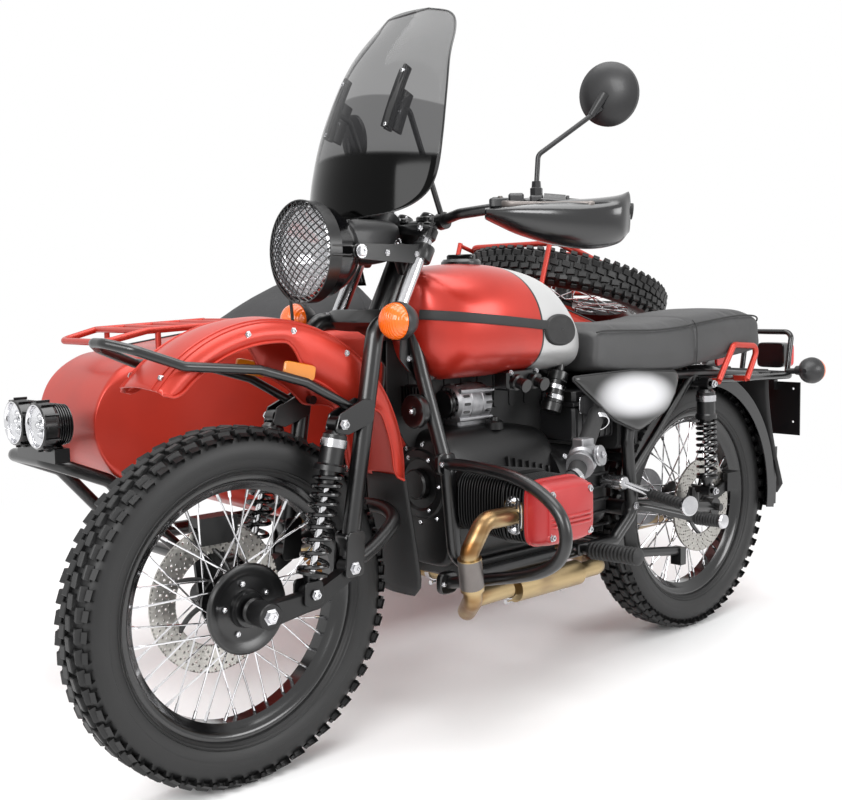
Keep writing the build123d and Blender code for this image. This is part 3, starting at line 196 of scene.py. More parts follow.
def swept(path: np.ndarray, outline: np.ndarray, scale: np.ndarray | float = 1.0) -> np.ndarray:
    """Outline carried along a path: path + scale·(a·side + b·up), side and up square to the path.

    Args:
        path: points of the path.
        outline: (a, b) pairs.
        scale: one factor, or one for each point of the path.

    Returns:
        Grid of points, one row for each point of the path.
    """
    run = unit(np.gradient(path, axis=0))
    spread = np.linalg.eigh(run.T @ run)[1][:, 0]
    side = unit(np.cross(run, spread))
    up = np.cross(side, run)
    size = np.broadcast_to(np.asarray(scale, float), (len(path),))[:, None, None]
    return path[:, None] + size * (outline[None, :, :1] * side[:, None] + outline[None, :, 1:] * up[:, None])


def ring(radius: float = 1.0, sides: int = 14, squash: float = 1.0) -> np.ndarray:
    """Circle or ellipse as (a, b) pairs."""
    t = np.linspace(0, 2 * np.pi, sides, endpoint=False)
    return np.stack([radius * np.cos(t), radius * squash * np.sin(t)], -1)


def soft_box(half_x: float, half_y: float, power: float = 5.0, sides: int = 32) -> np.ndarray:
    """Rounded box as a superellipse: |x/a|^n + |y/b|^n = 1.

    Args:
        half_x: a, half the width.
        half_y: b, half the height.
        power: n; the corners are squarer the higher it is.
        sides: number of points.

    Returns:
        (x, y) pairs.
    """
    t = np.linspace(0, 2 * np.pi, sides, endpoint=False)
    c, s = np.cos(t), np.sin(t)
    x, y = np.sign(c) * np.abs(c) ** (2 / power), np.sign(s) * np.abs(s) ** (2 / power)
    return np.stack([half_x * x, half_y * y], -1)


def sections(stations: tuple, power: float, sides: int, steps: int = 6, narrow: float = 0.0) -> np.ndarray:
    """Soft boxes across Y, whose width falls by narrow·h² from the middle (h = 0) to the top (h = 1).

    Args:
        stations: rows of Y, half width, bottom and top.
        power: exponent of the boxes.
        sides: points of each box.
        steps: samples between two stations.
        narrow: share of the width that the top loses.

    Returns:
        Grid of points, one row for each section.
    """
    y, half, low, high = (column[:, None] for column in smooth(stations, steps).T)
    across, up = soft_box(1, 1, power, sides).T
    x = half * across * (1 - narrow * np.clip(up, 0, 1) ** 2)
    return xyz(x, y, (high + low) / 2 + (high - low) / 2 * up)


class Form:
    """Patches of one piece, gathered as arrays until they become one mesh."""

    def __init__(self) -> None:
        """Starts with no points and no faces."""
        self.points: list[np.ndarray] = []
        self.faces: list[list[int]] = []
        self.count = 0

    def grid(self, points: np.ndarray, closed: bool = True, caps: bool = False,
             keep: object = None) -> "Form":
        """Adds a two-parameter grid as squares.

        Args:
            points: array of rows, columns and coordinates.
            closed: whether the last column joins the first.
            caps: whether the first and last rows are closed by a face each.
            keep: function of the squares' middles that says which of them stay, or None for all.

        Returns:
            This form.
        """
        rows, columns = points.shape[:2]
        index = np.arange(rows * columns).reshape(rows, columns) + self.count
        ends = [index[0].tolist()[::-1], index[-1].tolist()] if caps else []
        index = np.hstack([index, index[:, :1]]) if closed else index
        quads = np.stack([index[:-1, :-1], index[:-1, 1:], index[1:, 1:], index[1:, :-1]], -1).reshape(-1, 4)
        flat = points.reshape(-1, 3)
        if keep is not None:
            quads = quads[keep(flat[quads - self.count].mean(1))]
        self.points.append(flat)
        self.faces += quads.tolist() + ends
        self.count += len(flat)
        return self

    def solid(self, points: np.ndarray) -> "Form":
        """Adds a grid of closed outlines with a cap at both ends."""
        return self.grid(points, caps=True)

    def rod(self, path: np.ndarray, radius: float, sides: int = 14) -> "Form":
        """Adds a round bar along a path, with closed ends."""
        return self.solid(swept(path, ring(radius, sides)))

    def tube(self, points: list, radius: float, bend: float = 30.0, sides: int = 14) -> "Form":
        """Adds a round bar with bends of one radius and closed ends."""
        return self.rod(rounded(points, bend), radius, sides)

    def lathe(self, profile: Pairs, centre: Triple, axis: Axis | tuple = Axis.X, sides: int = 64) -> "Form":
        """Adds a turned piece; a closed outline ends where it starts."""
        return self.grid(spun(profile, centre, axis, sides), caps=profile[0] != profile[-1])

    def slab(self, outline: np.ndarray, origin: Triple, face: Face | tuple, thick: float,
             bevel: float = 0.0) -> "Form":
        """Adds a flat plate with eased edges.

        Args:
            outline: (a, b) pairs round the plate.
            origin: middle of its thickness at a = b = 0.
            face: directions of a and b.
            thick: thickness.
            bevel: how far both faces draw in.

        Returns:
            This form.
        """
        a, b = (unit(np.array(way, float)) for way in getattr(face, "value", face))
        n = np.cross(a, b)
        middle = outline.mean(0)
        away = outline - middle
        small = middle + away * (1 - bevel / np.maximum(np.linalg.norm(away, axis=1, keepdims=True), 1e-6))
        edge = 0.5 * thick
        layers = [(small, -edge), (outline, bevel - edge), (outline, edge - bevel), (small, edge)]
        rows = [np.array(origin) + line[:, :1] * a + line[:, 1:] * b + n * h for line, h in layers]
        return self.solid(np.stack(rows))

    def copies(self, base: np.ndarray, faces: list, frames: np.ndarray, places: np.ndarray) -> "Form":
        """Adds one shape many times: place + frame·base for each copy.

        Args:
            base: points of the shape.
            faces: its faces.
            frames: one 3 by 3 matrix for each copy, its columns the shape's axes.
            places: one place for each copy.

        Returns:
            This form.
        """
        points = np.einsum("nij,vj->nvi", frames, base) + places[:, None]
        for k in range(max(len(f) for f in faces) + 1):
            alike = np.array([f for f in faces if len(f) == k])
            if len(alike):
                shift = np.arange(len(places))[:, None, None] * len(base) + self.count
                self.faces += (alike[None] + shift).reshape(-1, k).tolist()
        self.points.append(points.reshape(-1, 3))
        self.count += points.shape[0] * points.shape[1]
        return self

    def bolts(self, places: list, axis: Axis | tuple, radius: float = 5.0, height: float = 5.0,
              sides: int = 6) -> "Form":
        """Adds bolt heads: short prisms with an eased top, on a washer.

        Args:
            places: middles of the washers.
            axis: direction that the heads point in.
            radius: of the head.
            height: of the head.
            sides: of the prism.

        Returns:
            This form.
        """
        profile = [(-2, radius * 1.35), (1, radius * 1.35), (1, radius), (height * 0.8, radius),
                   (height, radius * 0.8), (height, radius * 0.45), (height * 0.6, radius * 0.4)]
        for place in places:
            self.lathe(profile, place, axis, sides)
        return self

    def piece(self, name: str, body: str, finish: "Finish", replaces: tuple = (), wall: float = 0.0,
              crease: float = 35.0, levels: int = 0, offset: float = -1.0) -> bpy.types.Object:
        """Makes the gathered patches one Blender object that rides on a body.

        Args:
            name: name of the object.
            body: CAD body that it moves with.
            finish: what it is dressed in.
            replaces: CAD nodes that it stands for.
            wall: thickness given to an open sheet, or 0 for a closed shape.
            crease: angle in degrees past which an edge stays sharp.
            levels: subdivision levels.
            offset: side of the sheet that its wall goes to.

        Returns:
            The new object.
        """
        mesh = bpy.data.meshes.new(name)
        places = (np.vstack(self.points) + ORIGIN) / 1000
        mesh.from_pydata(places, [], self.faces)
        tidy = bmesh.new()
        tidy.from_mesh(mesh)
        bmesh.ops.remove_doubles(tidy, verts=tidy.verts, dist=2e-5)
        bmesh.ops.recalc_face_normals(tidy, faces=tidy.faces)
        tidy.to_mesh(mesh)
        tidy.free()
        mesh.polygons.foreach_set("use_smooth", np.ones(len(mesh.polygons), bool))
        mesh.set_sharp_from_angle(angle=math.radians(crease))
        made = bpy.data.objects.new(name, mesh)
        bpy.context.scene.collection.objects.link(made)
        if wall:
            solid = made.modifiers.new("wall", "SOLIDIFY")
            solid.thickness, solid.offset = wall / 1000, offset
        if levels:
            finer = made.modifiers.new("finer", "SUBSURF")
            finer.levels = finer.render_levels = levels
        mesh.materials.append(finish.material())
        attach(made, body)
        if replaces:
            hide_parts(*replaces)
        LOG.info("%s: %d points on %s", name, len(mesh.vertices), body)
        return made


def evaluated(made: bpy.types.Object) -> bpy.types.Mesh:
    """Mesh of an object with its modifiers applied.

    Args:
        made: the object.

    Returns:
        A new mesh.
    """
    graph = bpy.context.evaluated_depsgraph_get()
    graph.update()
    return bpy.data.meshes.new_from_object(made.evaluated_get(graph), depsgraph=graph)


def puffed(made: bpy.types.Object, cap: float, rest: float, voxel: float = 7.0) -> None:
    """Lets a cushion's cover swell as stuffed cloth does and keeps the result as its mesh.

    Args:
        made: closed cushion, a little smaller than it ends up.
        cap: furthest that a point may move, in mm.
        rest: height that the cushion stays flat below; its cloth is let go over the next 40 mm.
        voxel: size of the new mesh's squares, in mm.
    """
    cloth = bpy.data.objects.new("cloth", made.data.copy())
    bpy.context.scene.collection.objects.link(cloth)
    squares = cloth.modifiers.new("squares", "REMESH")
    squares.mode, squares.voxel_size = "VOXEL", voxel / 1000
    cloth.data = evaluated(cloth)
    cloth.modifiers.clear()
    start = np.empty(len(cloth.data.vertices) * 3, np.float32)
    cloth.data.vertices.foreach_get("co", start)
    swell = cloth.modifiers.new("swell", "CLOTH")
    swell.settings.use_pressure, swell.settings.uniform_pressure_force = True, 4.0
    swell.settings.effector_weights.gravity = 0.0
    swell.point_cache.frame_start, swell.point_cache.frame_end = 1, 20
    for frame in range(1, 21):
        bpy.context.scene.frame_set(frame)
    final = evaluated(cloth)
    end = np.empty_like(start)
    final.vertices.foreach_get("co", end)
    bpy.context.scene.frame_set(1)
    start, end = start.reshape(-1, 3), end.reshape(-1, 3)
    move = end - start
    far = np.linalg.norm(move, axis=1, keepdims=True)
    loose = np.clip((start[:, 2:] * 1000 - rest) / 40, 0, 1)
    points = start + move * loose * np.minimum(1, cap / 1000 / np.maximum(far, 1e-9))
    final.vertices.foreach_set("co", points.astype(np.float32).ravel())
    final.polygons.foreach_set("use_smooth", np.ones(len(final.polygons), bool))
    bpy.data.objects.remove(cloth)
    final.materials.clear()
    final.materials.append(made.data.materials[0])
    made.data = final
    finer = made.modifiers.new("finer", "SUBSURF")
    finer.levels = finer.render_levels = 1


# ---- shader kit ---------------------------------------------------------------------------------
class Value:
    """A number socket of a material, on which Python's operators add Math nodes."""

    def __init__(self, shader: "Shader", socket: bpy.types.NodeSocket) -> None:
        """Keeps the socket and the shader that it belongs to."""
        self.shader, self.socket = shader, socket

    def _math(self, operation: str, first: object, second: object = None) -> "Value":
        """One Math node on one or two numbers."""
        values = {0: first} if second is None else {0: first, 1: second}
        return self.shader.node("ShaderNodeMath", {"operation": operation}, values)

    def __add__(self, other: object) -> "Value":
        """Sum."""
        return self._math("ADD", self, other)

    def __sub__(self, other: object) -> "Value":
        """Difference."""
        return self._math("SUBTRACT", self, other)

    def __rsub__(self, other: object) -> "Value":
        """Difference from a number."""
        return self._math("SUBTRACT", other, self)

    def __mul__(self, other: object) -> "Value":
        """Product."""
        return self._math("MULTIPLY", self, other)

    def __truediv__(self, other: object) -> "Value":
        """Quotient."""
        return self._math("DIVIDE", self, other)

    def __pow__(self, other: object) -> "Value":
        """Power."""
        return self._math("POWER", self, other)

    def __abs__(self) -> "Value":
        """Size without sign."""
        return self._math("ABSOLUTE", self)

    __radd__, __rmul__ = __add__, __mul__

    def most(self, other: object) -> "Value":
        """The larger of two."""
        return self._math("MAXIMUM", self, other)

    def between(self, low: float, high: float) -> "Value":
        """Rises smoothly from 0 at low to 1 at high."""
        return self.shader.node("ShaderNodeMapRange", {"interpolation_type": "SMOOTHSTEP"},
                                {"Value": self, "From Min": low, "From Max": high})


class Shader:
    """One material's tree while it is built."""

    def __init__(self, name: str) -> None:
        """Starts an empty tree with its output.

        Args:
            name: name of the material.
        """
        self.material = bpy.data.materials.new(name)
        self.material.use_nodes = True
        self.tree = self.material.node_tree
        self.tree.nodes.clear()
        self.output = self.tree.nodes.new("ShaderNodeOutputMaterial")

    def node(self, kind: str, settings: dict | None = None, values: dict | None = None,
             out: int | str = 0) -> Value:
        """Adds a node.

        Args:
            kind: Blender's node type.
            settings: properties, set before the sockets.
            values: numbers, colours or Values for the input sockets.
            out: output socket to return.

        Returns:
            The output as a Value.
        """
        made = self.tree.nodes.new(kind)
        for key, setting in (settings or {}).items():
            setattr(made, key, setting)
        for key, value in (values or {}).items():
            if isinstance(value, Value):
                self.tree.links.new(value.socket, made.inputs[key])
            else:
                made.inputs[key].default_value = value
        return Value(self, made.outputs[out])

    def place(self) -> Value:
        """Object coordinates, in metres of the part's frame."""
        return self.node("ShaderNodeTexCoord", out="Object")

    def along(self, axis: Axis) -> Value:
        """One coordinate of the place, in millimetres of the machine's frame.

        Args:
            axis: which one.

        Returns:
            The coordinate.
        """
        index = "XYZ".index(axis.name)
        split = self.node("ShaderNodeSeparateXYZ", values={0: self.place()}, out=index)
        return split * 1000 - float(ORIGIN[index])

    def noise(self, scale: float, detail: float = 2.0, rough: float = 0.5,
              stretch: Triple | None = None) -> Value:
        """Noise on the place.

        Args:
            scale: waves in a metre.
            detail: number of finer layers.
            rough: share of each finer layer.
            stretch: factors on the place, or None.

        Returns:
            The noise, about 0.5 in the middle.
        """
        where = self.place()
        if stretch:
            where = self.node("ShaderNodeMapping", values={"Vector": where, "Scale": stretch})
        return self.node("ShaderNodeTexNoise", None,
                         {"Vector": where, "Scale": scale, "Detail": detail, "Roughness": rough})

    def cells(self, scale: float, feature: str = "F1") -> Value:
        """Distance in a cell pattern on the place."""
        return self.node("ShaderNodeTexVoronoi", {"feature": feature},
                         {"Vector": self.place(), "Scale": scale})

    def bands(self, direction: str, scale: float) -> Value:
        """Even waves along one axis of the place."""
        return self.node("ShaderNodeTexWave", {"bands_direction": direction, "wave_profile": "SIN"},
                         {"Vector": self.place(), "Scale": scale}, out="Fac")

    def mix(self, factor: Value | float, first: object, second: object) -> Value:
        """Colour between two."""
        return self.node("ShaderNodeMix", {"data_type": "RGBA"}, {0: factor, 6: first, 7: second}, out=2)

    def bump(self, height: Value, strength: float, distance: float, under: Value | None = None) -> Value:
        """Normal from a height.

        Args:
            height: a value from 0 to 1.
            strength: share of the relief that shows.
            distance: depth in millimetres.
            under: a coarser normal below this one, or None.

        Returns:
            The normal.
        """
        values = {"Height": height, "Strength": strength, "Distance": distance / 1000}
        return self.node("ShaderNodeBump", None, values | ({} if under is None else {"Normal": under}))

    def surface(self, colour: object, rough: object, normal: Value | None = None,
                **more: object) -> bpy.types.Material:
        """Closes the tree with a Principled shader.

        Args:
            colour: base colour.
            rough: roughness.
            normal: the normal, or None where it is smooth.
            more: other sockets, named in small letters with underscores.

        Returns:
            The finished material.
        """
        values = {"Base Color": colour, "Roughness": rough} | ({} if normal is None else {"Normal": normal})
        for name, value in more.items():
            values[name.replace("_", " ").title().replace("Ior", "IOR")] = value
        shader = self.node("ShaderNodeBsdfPrincipled", None, values)
        self.tree.links.new(shader.socket, self.output.inputs["Surface"])
        return self.material


Colour = tuple[float, float, float, float]


def tone(red: float, green: float, blue: float) -> Colour:
    """Linear colour from values as they look, by the power 2.2."""
    return red ** 2.2, green ** 2.2, blue ** 2.2, 1.0


def shade(colour: Colour, factor: float) -> Colour:
    """Colour made lighter or darker by a factor, at most white."""
    return (*(min(1, c * factor) for c in colour[:3]), 1)


# ---- finishes -----------------------------------------------------------------------------------
@dataclass(frozen=True)
class Finish:
    """What a piece is dressed in; each kind of finish has its own build."""

    name: str
    slot: str

    def build(self, s: Shader) -> bpy.types.Material:
        """Fills the tree."""
        return s.surface(tone(0.5, 0.5, 0.5), 0.5)

    def material(self) -> bpy.types.Material:
        """The finish's material, made once."""
        return bpy.data.materials.get(self.name) or self.build(Shader(self.name))


@dataclass(frozen=True)
class Paint(Finish):
    """Sprayed paint: colour with faint clouds, flakes and orange peel under an even coat."""

    colour: Colour = (0.5, 0.5, 0.5, 1)
    rough: float = 0.36
    flake: float = 0.0
    coat: float = 0.25
    metal: float = 0.0

    def build(self, s: Shader) -> bpy.types.Material:
        """Clouds vary the colour by an eighth, cells shine as flakes, fine noise is the peel.

        Args:
            s: the tree.

        Returns:
            The material.
        """
        clouds = s.noise(9, 3)
        base = s.mix(clouds.between(0.3, 0.7), self.colour, shade(self.colour, 1.12))
        rough = self.rough + (clouds - 0.5) * 0.08 + s.cells(1400) * self.flake * 0.3
        return s.surface(base, rough, s.bump(s.noise(260, 2), 0.18, 0.25), metallic=self.metal,
                         coat_weight=self.coat, coat_roughness=0.22)


@dataclass(frozen=True)
class TwoTone(Paint):
    """Tank paint: colour in front, silver behind a thin dark line that sweeps down and back."""

    rear: Colour = (0.6, 0.6, 0.6, 1)
    line: Colour = (0.02, 0.02, 0.02, 1)
    top: float = -62.0
    sweep: float = 78.0

    def build(self, s: Shader) -> bpy.types.Material:
        """The border is y = top + sweep·(depth below the tank's top / 250)^0.55.

        Args:
            s: the tree.

        Returns:
            The material.
        """
        below = (1000 - s.along(Axis.Z)).most(0.0) / 250
        edge = s.along(Axis.Y) - (below ** 0.55) * self.sweep - self.top
        behind = edge.between(-0.8, 0.8)
        band = 1 - abs(edge).between(2.2, 3.4)
        clouds = s.noise(9, 3)
        front = s.mix(clouds.between(0.3, 0.7), self.colour, shade(self.colour, 1.15))
        both = s.mix(band, s.mix(behind, front, self.rear), self.line)
        return s.surface(both, 0.33 + (clouds - 0.5) * 0.06, s.bump(s.noise(260, 2), 0.15, 0.25),
                         metallic=self.metal, coat_weight=self.coat, coat_roughness=0.2)


@dataclass(frozen=True)
class CoverHighlight(Paint):
    """Side cover: black paint with a painted highlight, pale in the middle, that fades softly to the black
    at its edges.
    """

    # edge is the cover's own black; colour is the painted highlight, middle and reach its place and size.
    edge: Colour = (0.01, 0.01, 0.01, 1)
    middle: tuple = (340, 682)
    reach: tuple = (150, 56)

    def build(self, s: Shader) -> bpy.types.Material:
        """The painted highlight fades with distance from an oval's middle: |y/a|^2.2 + (z/b)², with slow
        noise.

        Args:
            s: the tree.

        Returns:
            The material.
        """
        y, z = ((s.along(axis) - m) / r for axis, m, r in zip((Axis.Y, Axis.Z), self.middle, self.reach))
        out = (abs(y + z * 0.15) ** 2.2 + abs(z) ** 2.0) + (s.noise(9, 2) - 0.5) * 0.14
        # Painted highlight: pale inside the oval, the cover's own black outside it.
        base = s.mix(out.between(0.05, 1.3), self.colour, self.edge)
        return s.surface(base, self.rough, s.bump(s.noise(260, 2), 0.12, 0.2),
                         metallic=0.35, coat_weight=0.6, coat_roughness=0.12)


@dataclass(frozen=True)
class Metal(Finish):
    """Bare or plated metal with fine streaks and faint stains."""

    colour: Colour = (0.6, 0.6, 0.6, 1)
    rough: float = 0.28
    streak: Triple = (1.0, 1.0, 1.0)
    grain: float = 180.0

    def build(self, s: Shader) -> bpy.types.Material:
        """Streaks are noise stretched along the work's direction; stains darken by a fifth.

        Args:
            s: the tree.

        Returns:
            The material.
        """
        streaks = s.noise(self.grain, 3, 0.6, self.streak)
        base = s.mix(s.noise(14, 4).between(0.35, 0.75), self.colour, shade(self.colour, 0.82))
        return s.surface(base, self.rough + (streaks - 0.5) * 0.18, s.bump(streaks, 0.12, 0.1), metallic=1.0)


@dataclass(frozen=True)
class Casting(Finish):
    """Cast alloy, bare or painted: pitted skin, with painted shade that darkens its hollows."""

    colour: Colour = (0.2, 0.2, 0.2, 1)
    rough: float = 0.45
    metal: float = 0.7

    def build(self, s: Shader) -> bpy.types.Material:
        """Two sizes of noise make the skin; the coarse one also darkens the colour in its hollows as painted
        shade, the fine one varies gloss.

        Args:
            s: the tree.

        Returns:
            The material.
        """
        coarse, fine = s.noise(55, 4, 0.6), s.noise(420, 2)
        # Painted shade: the colour is darkest where the coarse relief is lowest.
        base = s.mix(coarse.between(0.3, 0.75), shade(self.colour, 0.75), self.colour)
        skin = s.bump(fine, 0.3, 0.25, s.bump(coarse, 0.2, 0.8))
        return s.surface(base, self.rough + (fine - 0.5) * 0.2, skin, metallic=self.metal)


@dataclass(frozen=True)
class TintedSteel(Finish):
    """Exhaust steel coloured by heat: straw, bronze and a violet haze in clouds along the pipe."""

    straw: Colour = tone(0.66, 0.58, 0.44)
    bronze: Colour = tone(0.46, 0.32, 0.19)
    violet: Colour = tone(0.36, 0.28, 0.27)

    def build(self, s: Shader) -> bpy.types.Material:
        """Noise drifting along the pipe picks the tint, and brushing gives the gloss.

        Args:
            s: the tree.

        Returns:
            The material.
        """
        drift = s.noise(7, 3, 0.5, (1.0, 0.6, 1.6))
        warm = s.mix(drift.between(0.38, 0.56), self.bronze, self.straw)
        base = s.mix(drift.between(0.62, 0.78), warm, self.violet)
        brush = s.noise(160, 2, 0.6)
        return s.surface(base, 0.36 + (brush - 0.5) * 0.16, s.bump(brush, 0.14, 0.15), metallic=1.0)


@dataclass(frozen=True)
class Rubber(Finish):
    """Rubber or moulded plastic: grey bloom in clouds over a fine grain."""

    colour: Colour = (0.02, 0.02, 0.02, 1)
    rough: float = 0.7
    bloom: float = 0.35
    grain: float = 700.0
    coat: float = 0.0

    def build(self, s: Shader) -> bpy.types.Material:
        """Bloom lightens the colour in clouds; cells make the grain.

        Args:
            s: the tree.

        Returns:
            The material.
        """
        clouds = s.noise(16, 4, 0.6)
        pale = tuple(c * (1 + self.bloom * 2) + 0.004 * self.bloom for c in self.colour[:3]) + (1,)
        base = s.mix(clouds.between(0.35, 0.8), self.colour, pale)
        return s.surface(base, self.rough + (clouds - 0.5) * 0.12, s.bump(s.cells(self.grain), 0.22, 0.2),
                         coat_weight=self.coat, coat_roughness=0.15)


@dataclass(frozen=True)
class Vinyl(Finish):
    """Bench vinyl: a creased grain of small cells with a dull sheen."""

    colour: Colour = (0.03, 0.03, 0.032, 1)

    def build(self, s: Shader) -> bpy.types.Material:
        """The grain is the distance to cell edges; slow noise dulls the places that are sat on.

        Args:
            s: the tree.

        Returns:
            The material.
        """
        grain = s.cells(520, "DISTANCE_TO_EDGE").between(0.0, 0.12)
        worn = s.noise(6, 3)
        base = s.mix(worn.between(0.3, 0.75), self.colour, shade(self.colour, 1.35))
        skin = s.bump(grain, 0.35, 0.22, s.bump(s.noise(40, 2), 0.12, 1.2))
        return s.surface(base, 0.52 + (worn - 0.5) * 0.14, skin)


@dataclass(frozen=True)
class Canvas(Finish):
    """Coated cloth: crossed threads and slow creases, with painted shade darkening the folds."""

    colour: Colour = (0.025, 0.025, 0.027, 1)

    def build(self, s: Shader) -> bpy.types.Material:
        """Threads are two sets of bands at 1.4 mm, one along each level axis.

        Args:
            s: the tree.

        Returns:
            The material.
        """
        weave = s.bands("X", 230.0).most(s.bands("Y", 230.0))
        creases = s.noise(11, 3, 0.6)
        # Painted shade: darker in the folds of the creases and lighter on their ridges, as the same noise is
        # their relief.
        base = s.mix(creases.between(0.3, 0.7), self.colour, shade(self.colour, 1.5))
        skin = s.bump(weave, 0.3, 0.25, s.bump(creases, 0.4, 6.0))
        return s.surface(base, 0.7 + (creases - 0.5) * 0.1, skin)


@dataclass(frozen=True)
class Glass(Finish):
    """Clear or coloured glass or plastic, part see-through, with an even gloss."""

    colour: Colour = (0.9, 0.92, 0.93, 1)
    alpha: float = 0.35
    rough: float = 0.06
    ripple: float = 0.0

    def build(self, s: Shader) -> bpy.types.Material:
        """Flutes across X are the ripple, and slow noise moves the gloss a little.

        Args:
            s: the tree.

        Returns:
            The material.
        """
        haze = s.noise(20, 2)
        base = s.mix(haze.between(0.3, 0.7), self.colour, shade(self.colour, 0.93))
        flutes = s.bump(s.bands("X", self.ripple), 0.7, 1.4) if self.ripple else None
        return s.surface(base, self.rough + haze * 0.03, flutes, alpha=self.alpha, coat_weight=0.6,
                         coat_roughness=0.04)


@dataclass(frozen=True)
class SmokedScreen(Finish):
    """Windscreen: black low down, a grey band with a curved edge above it, and light smoke on top."""

    smoke: Colour = tone(0.15, 0.15, 0.155)
    black: Colour = tone(0.008, 0.008, 0.009)

    def build(self, s: Shader) -> bpy.types.Material:
        """Both borders are heights that bend with the square of the distance from the middle.

        Args:
            s: the tree.

        Returns:
            The material.
        """
        bend, z = (s.along(Axis.X) / 200) ** 2.0, s.along(Axis.Z)
        solid = 1 - (z + bend * 14).between(1212, 1240)
        band = 1 - (z + bend * 40).between(1338, 1343)
        return s.surface(s.mix(solid, self.smoke, self.black), 0.08 + s.noise(12, 2) * 0.03,
                         alpha=(0.47 + band * 0.15).most(solid), specular_ior_level=0.12)


class Look:
    """Every finish of the machine, by the name of what wears it."""

    red = Paint("red_satin_paint", "red_paint", tone(0.665, 0.185, 0.13), 0.34, 0.35, 0.25, 0.4)
    red_gloss = Paint("red_cover_paint", "red_paint", tone(0.60, 0.135, 0.14), 0.36, 0.1, 0.25, 0.1)
    tank = TwoTone("tank_paint", "red_paint", tone(0.67, 0.18, 0.135), 0.30, 0.3, 0.3,
                   0.45, tone(0.74, 0.74, 0.74))
    # Side cover: black paint; its pale colour is a painted highlight.
    cover = CoverHighlight("side_cover_paint", "silver_paint", tone(0.86, 0.86, 0.87), 0.28)
    black = Paint("black_powder_coat", "black_paint", tone(0.06, 0.06, 0.064), 0.30, 0.0, 0.3)
    gloss = Paint("black_gloss_paint", "black_paint", tone(0.05, 0.05, 0.055), 0.16, 0.0, 0.4)
    steel = Metal("plated_steel", "steel", tone(0.78, 0.78, 0.79), 0.22)
    disc = Metal("brake_disc_steel", "steel", tone(0.70, 0.69, 0.67), 0.34, (1.0, 9.0, 9.0))
    chrome = Metal("bright_plate", "steel", tone(0.90, 0.90, 0.91), 0.10, (1.0, 1.0, 1.0), 60.0)
    tinted = TintedSteel("heat_tinted_steel", "steel")
    sleeve = Metal("heat_greyed_steel", "steel", tone(0.46, 0.44, 0.43), 0.42)
    engine = Casting("engine_black_casting", "dark_alloy", tone(0.085, 0.085, 0.088), 0.38, 0.2)
    alloy = Casting("bare_casting", "cast_alloy", tone(0.62, 0.62, 0.63), 0.38, 0.85)
    tyre = Rubber("tyre_rubber", "tyre", tone(0.068, 0.068, 0.07), 0.50, 0.25)
    rubber = Rubber("black_rubber", "rubber", tone(0.12, 0.12, 0.122), 0.62, 0.3)
    plastic = Rubber("moulded_black_plastic", "black_plastic", tone(0.11, 0.11, 0.115),
                     0.42, 0.15, 900.0, 0.1)
    shiny = Rubber("gloss_black_plastic", "lamp_black", tone(0.08, 0.08, 0.085), 0.22, 0.1, 900.0, 0.5)
    vinyl = Vinyl("seat_vinyl", "seat_cover", tone(0.205, 0.205, 0.207))
    canvas = Canvas("cover_canvas", "cover_fabric", tone(0.14, 0.14, 0.145))
    clear = Glass("clear_lens", "clear_glass", tone(0.93, 0.94, 0.95), 0.10)
    fluted = Glass("fluted_lens", "clear_glass", tone(0.93, 0.94, 0.95), 0.28, 0.04, 34.0)
    screen = SmokedScreen("smoked_screen", "smoke_glass")
    amber = Glass("amber_lens", "lamp_plastic", tone(0.98, 0.42, 0.06), 0.94, 0.12, 60.0)
    reflector = Glass("amber_reflector", "lamp_plastic", tone(0.80, 0.47, 0.07), 1.0, 0.3, 90.0)
    red_lens = Glass("red_lens", "lamp_plastic", tone(0.80, 0.06, 0.05), 0.95, 0.12, 60.0)


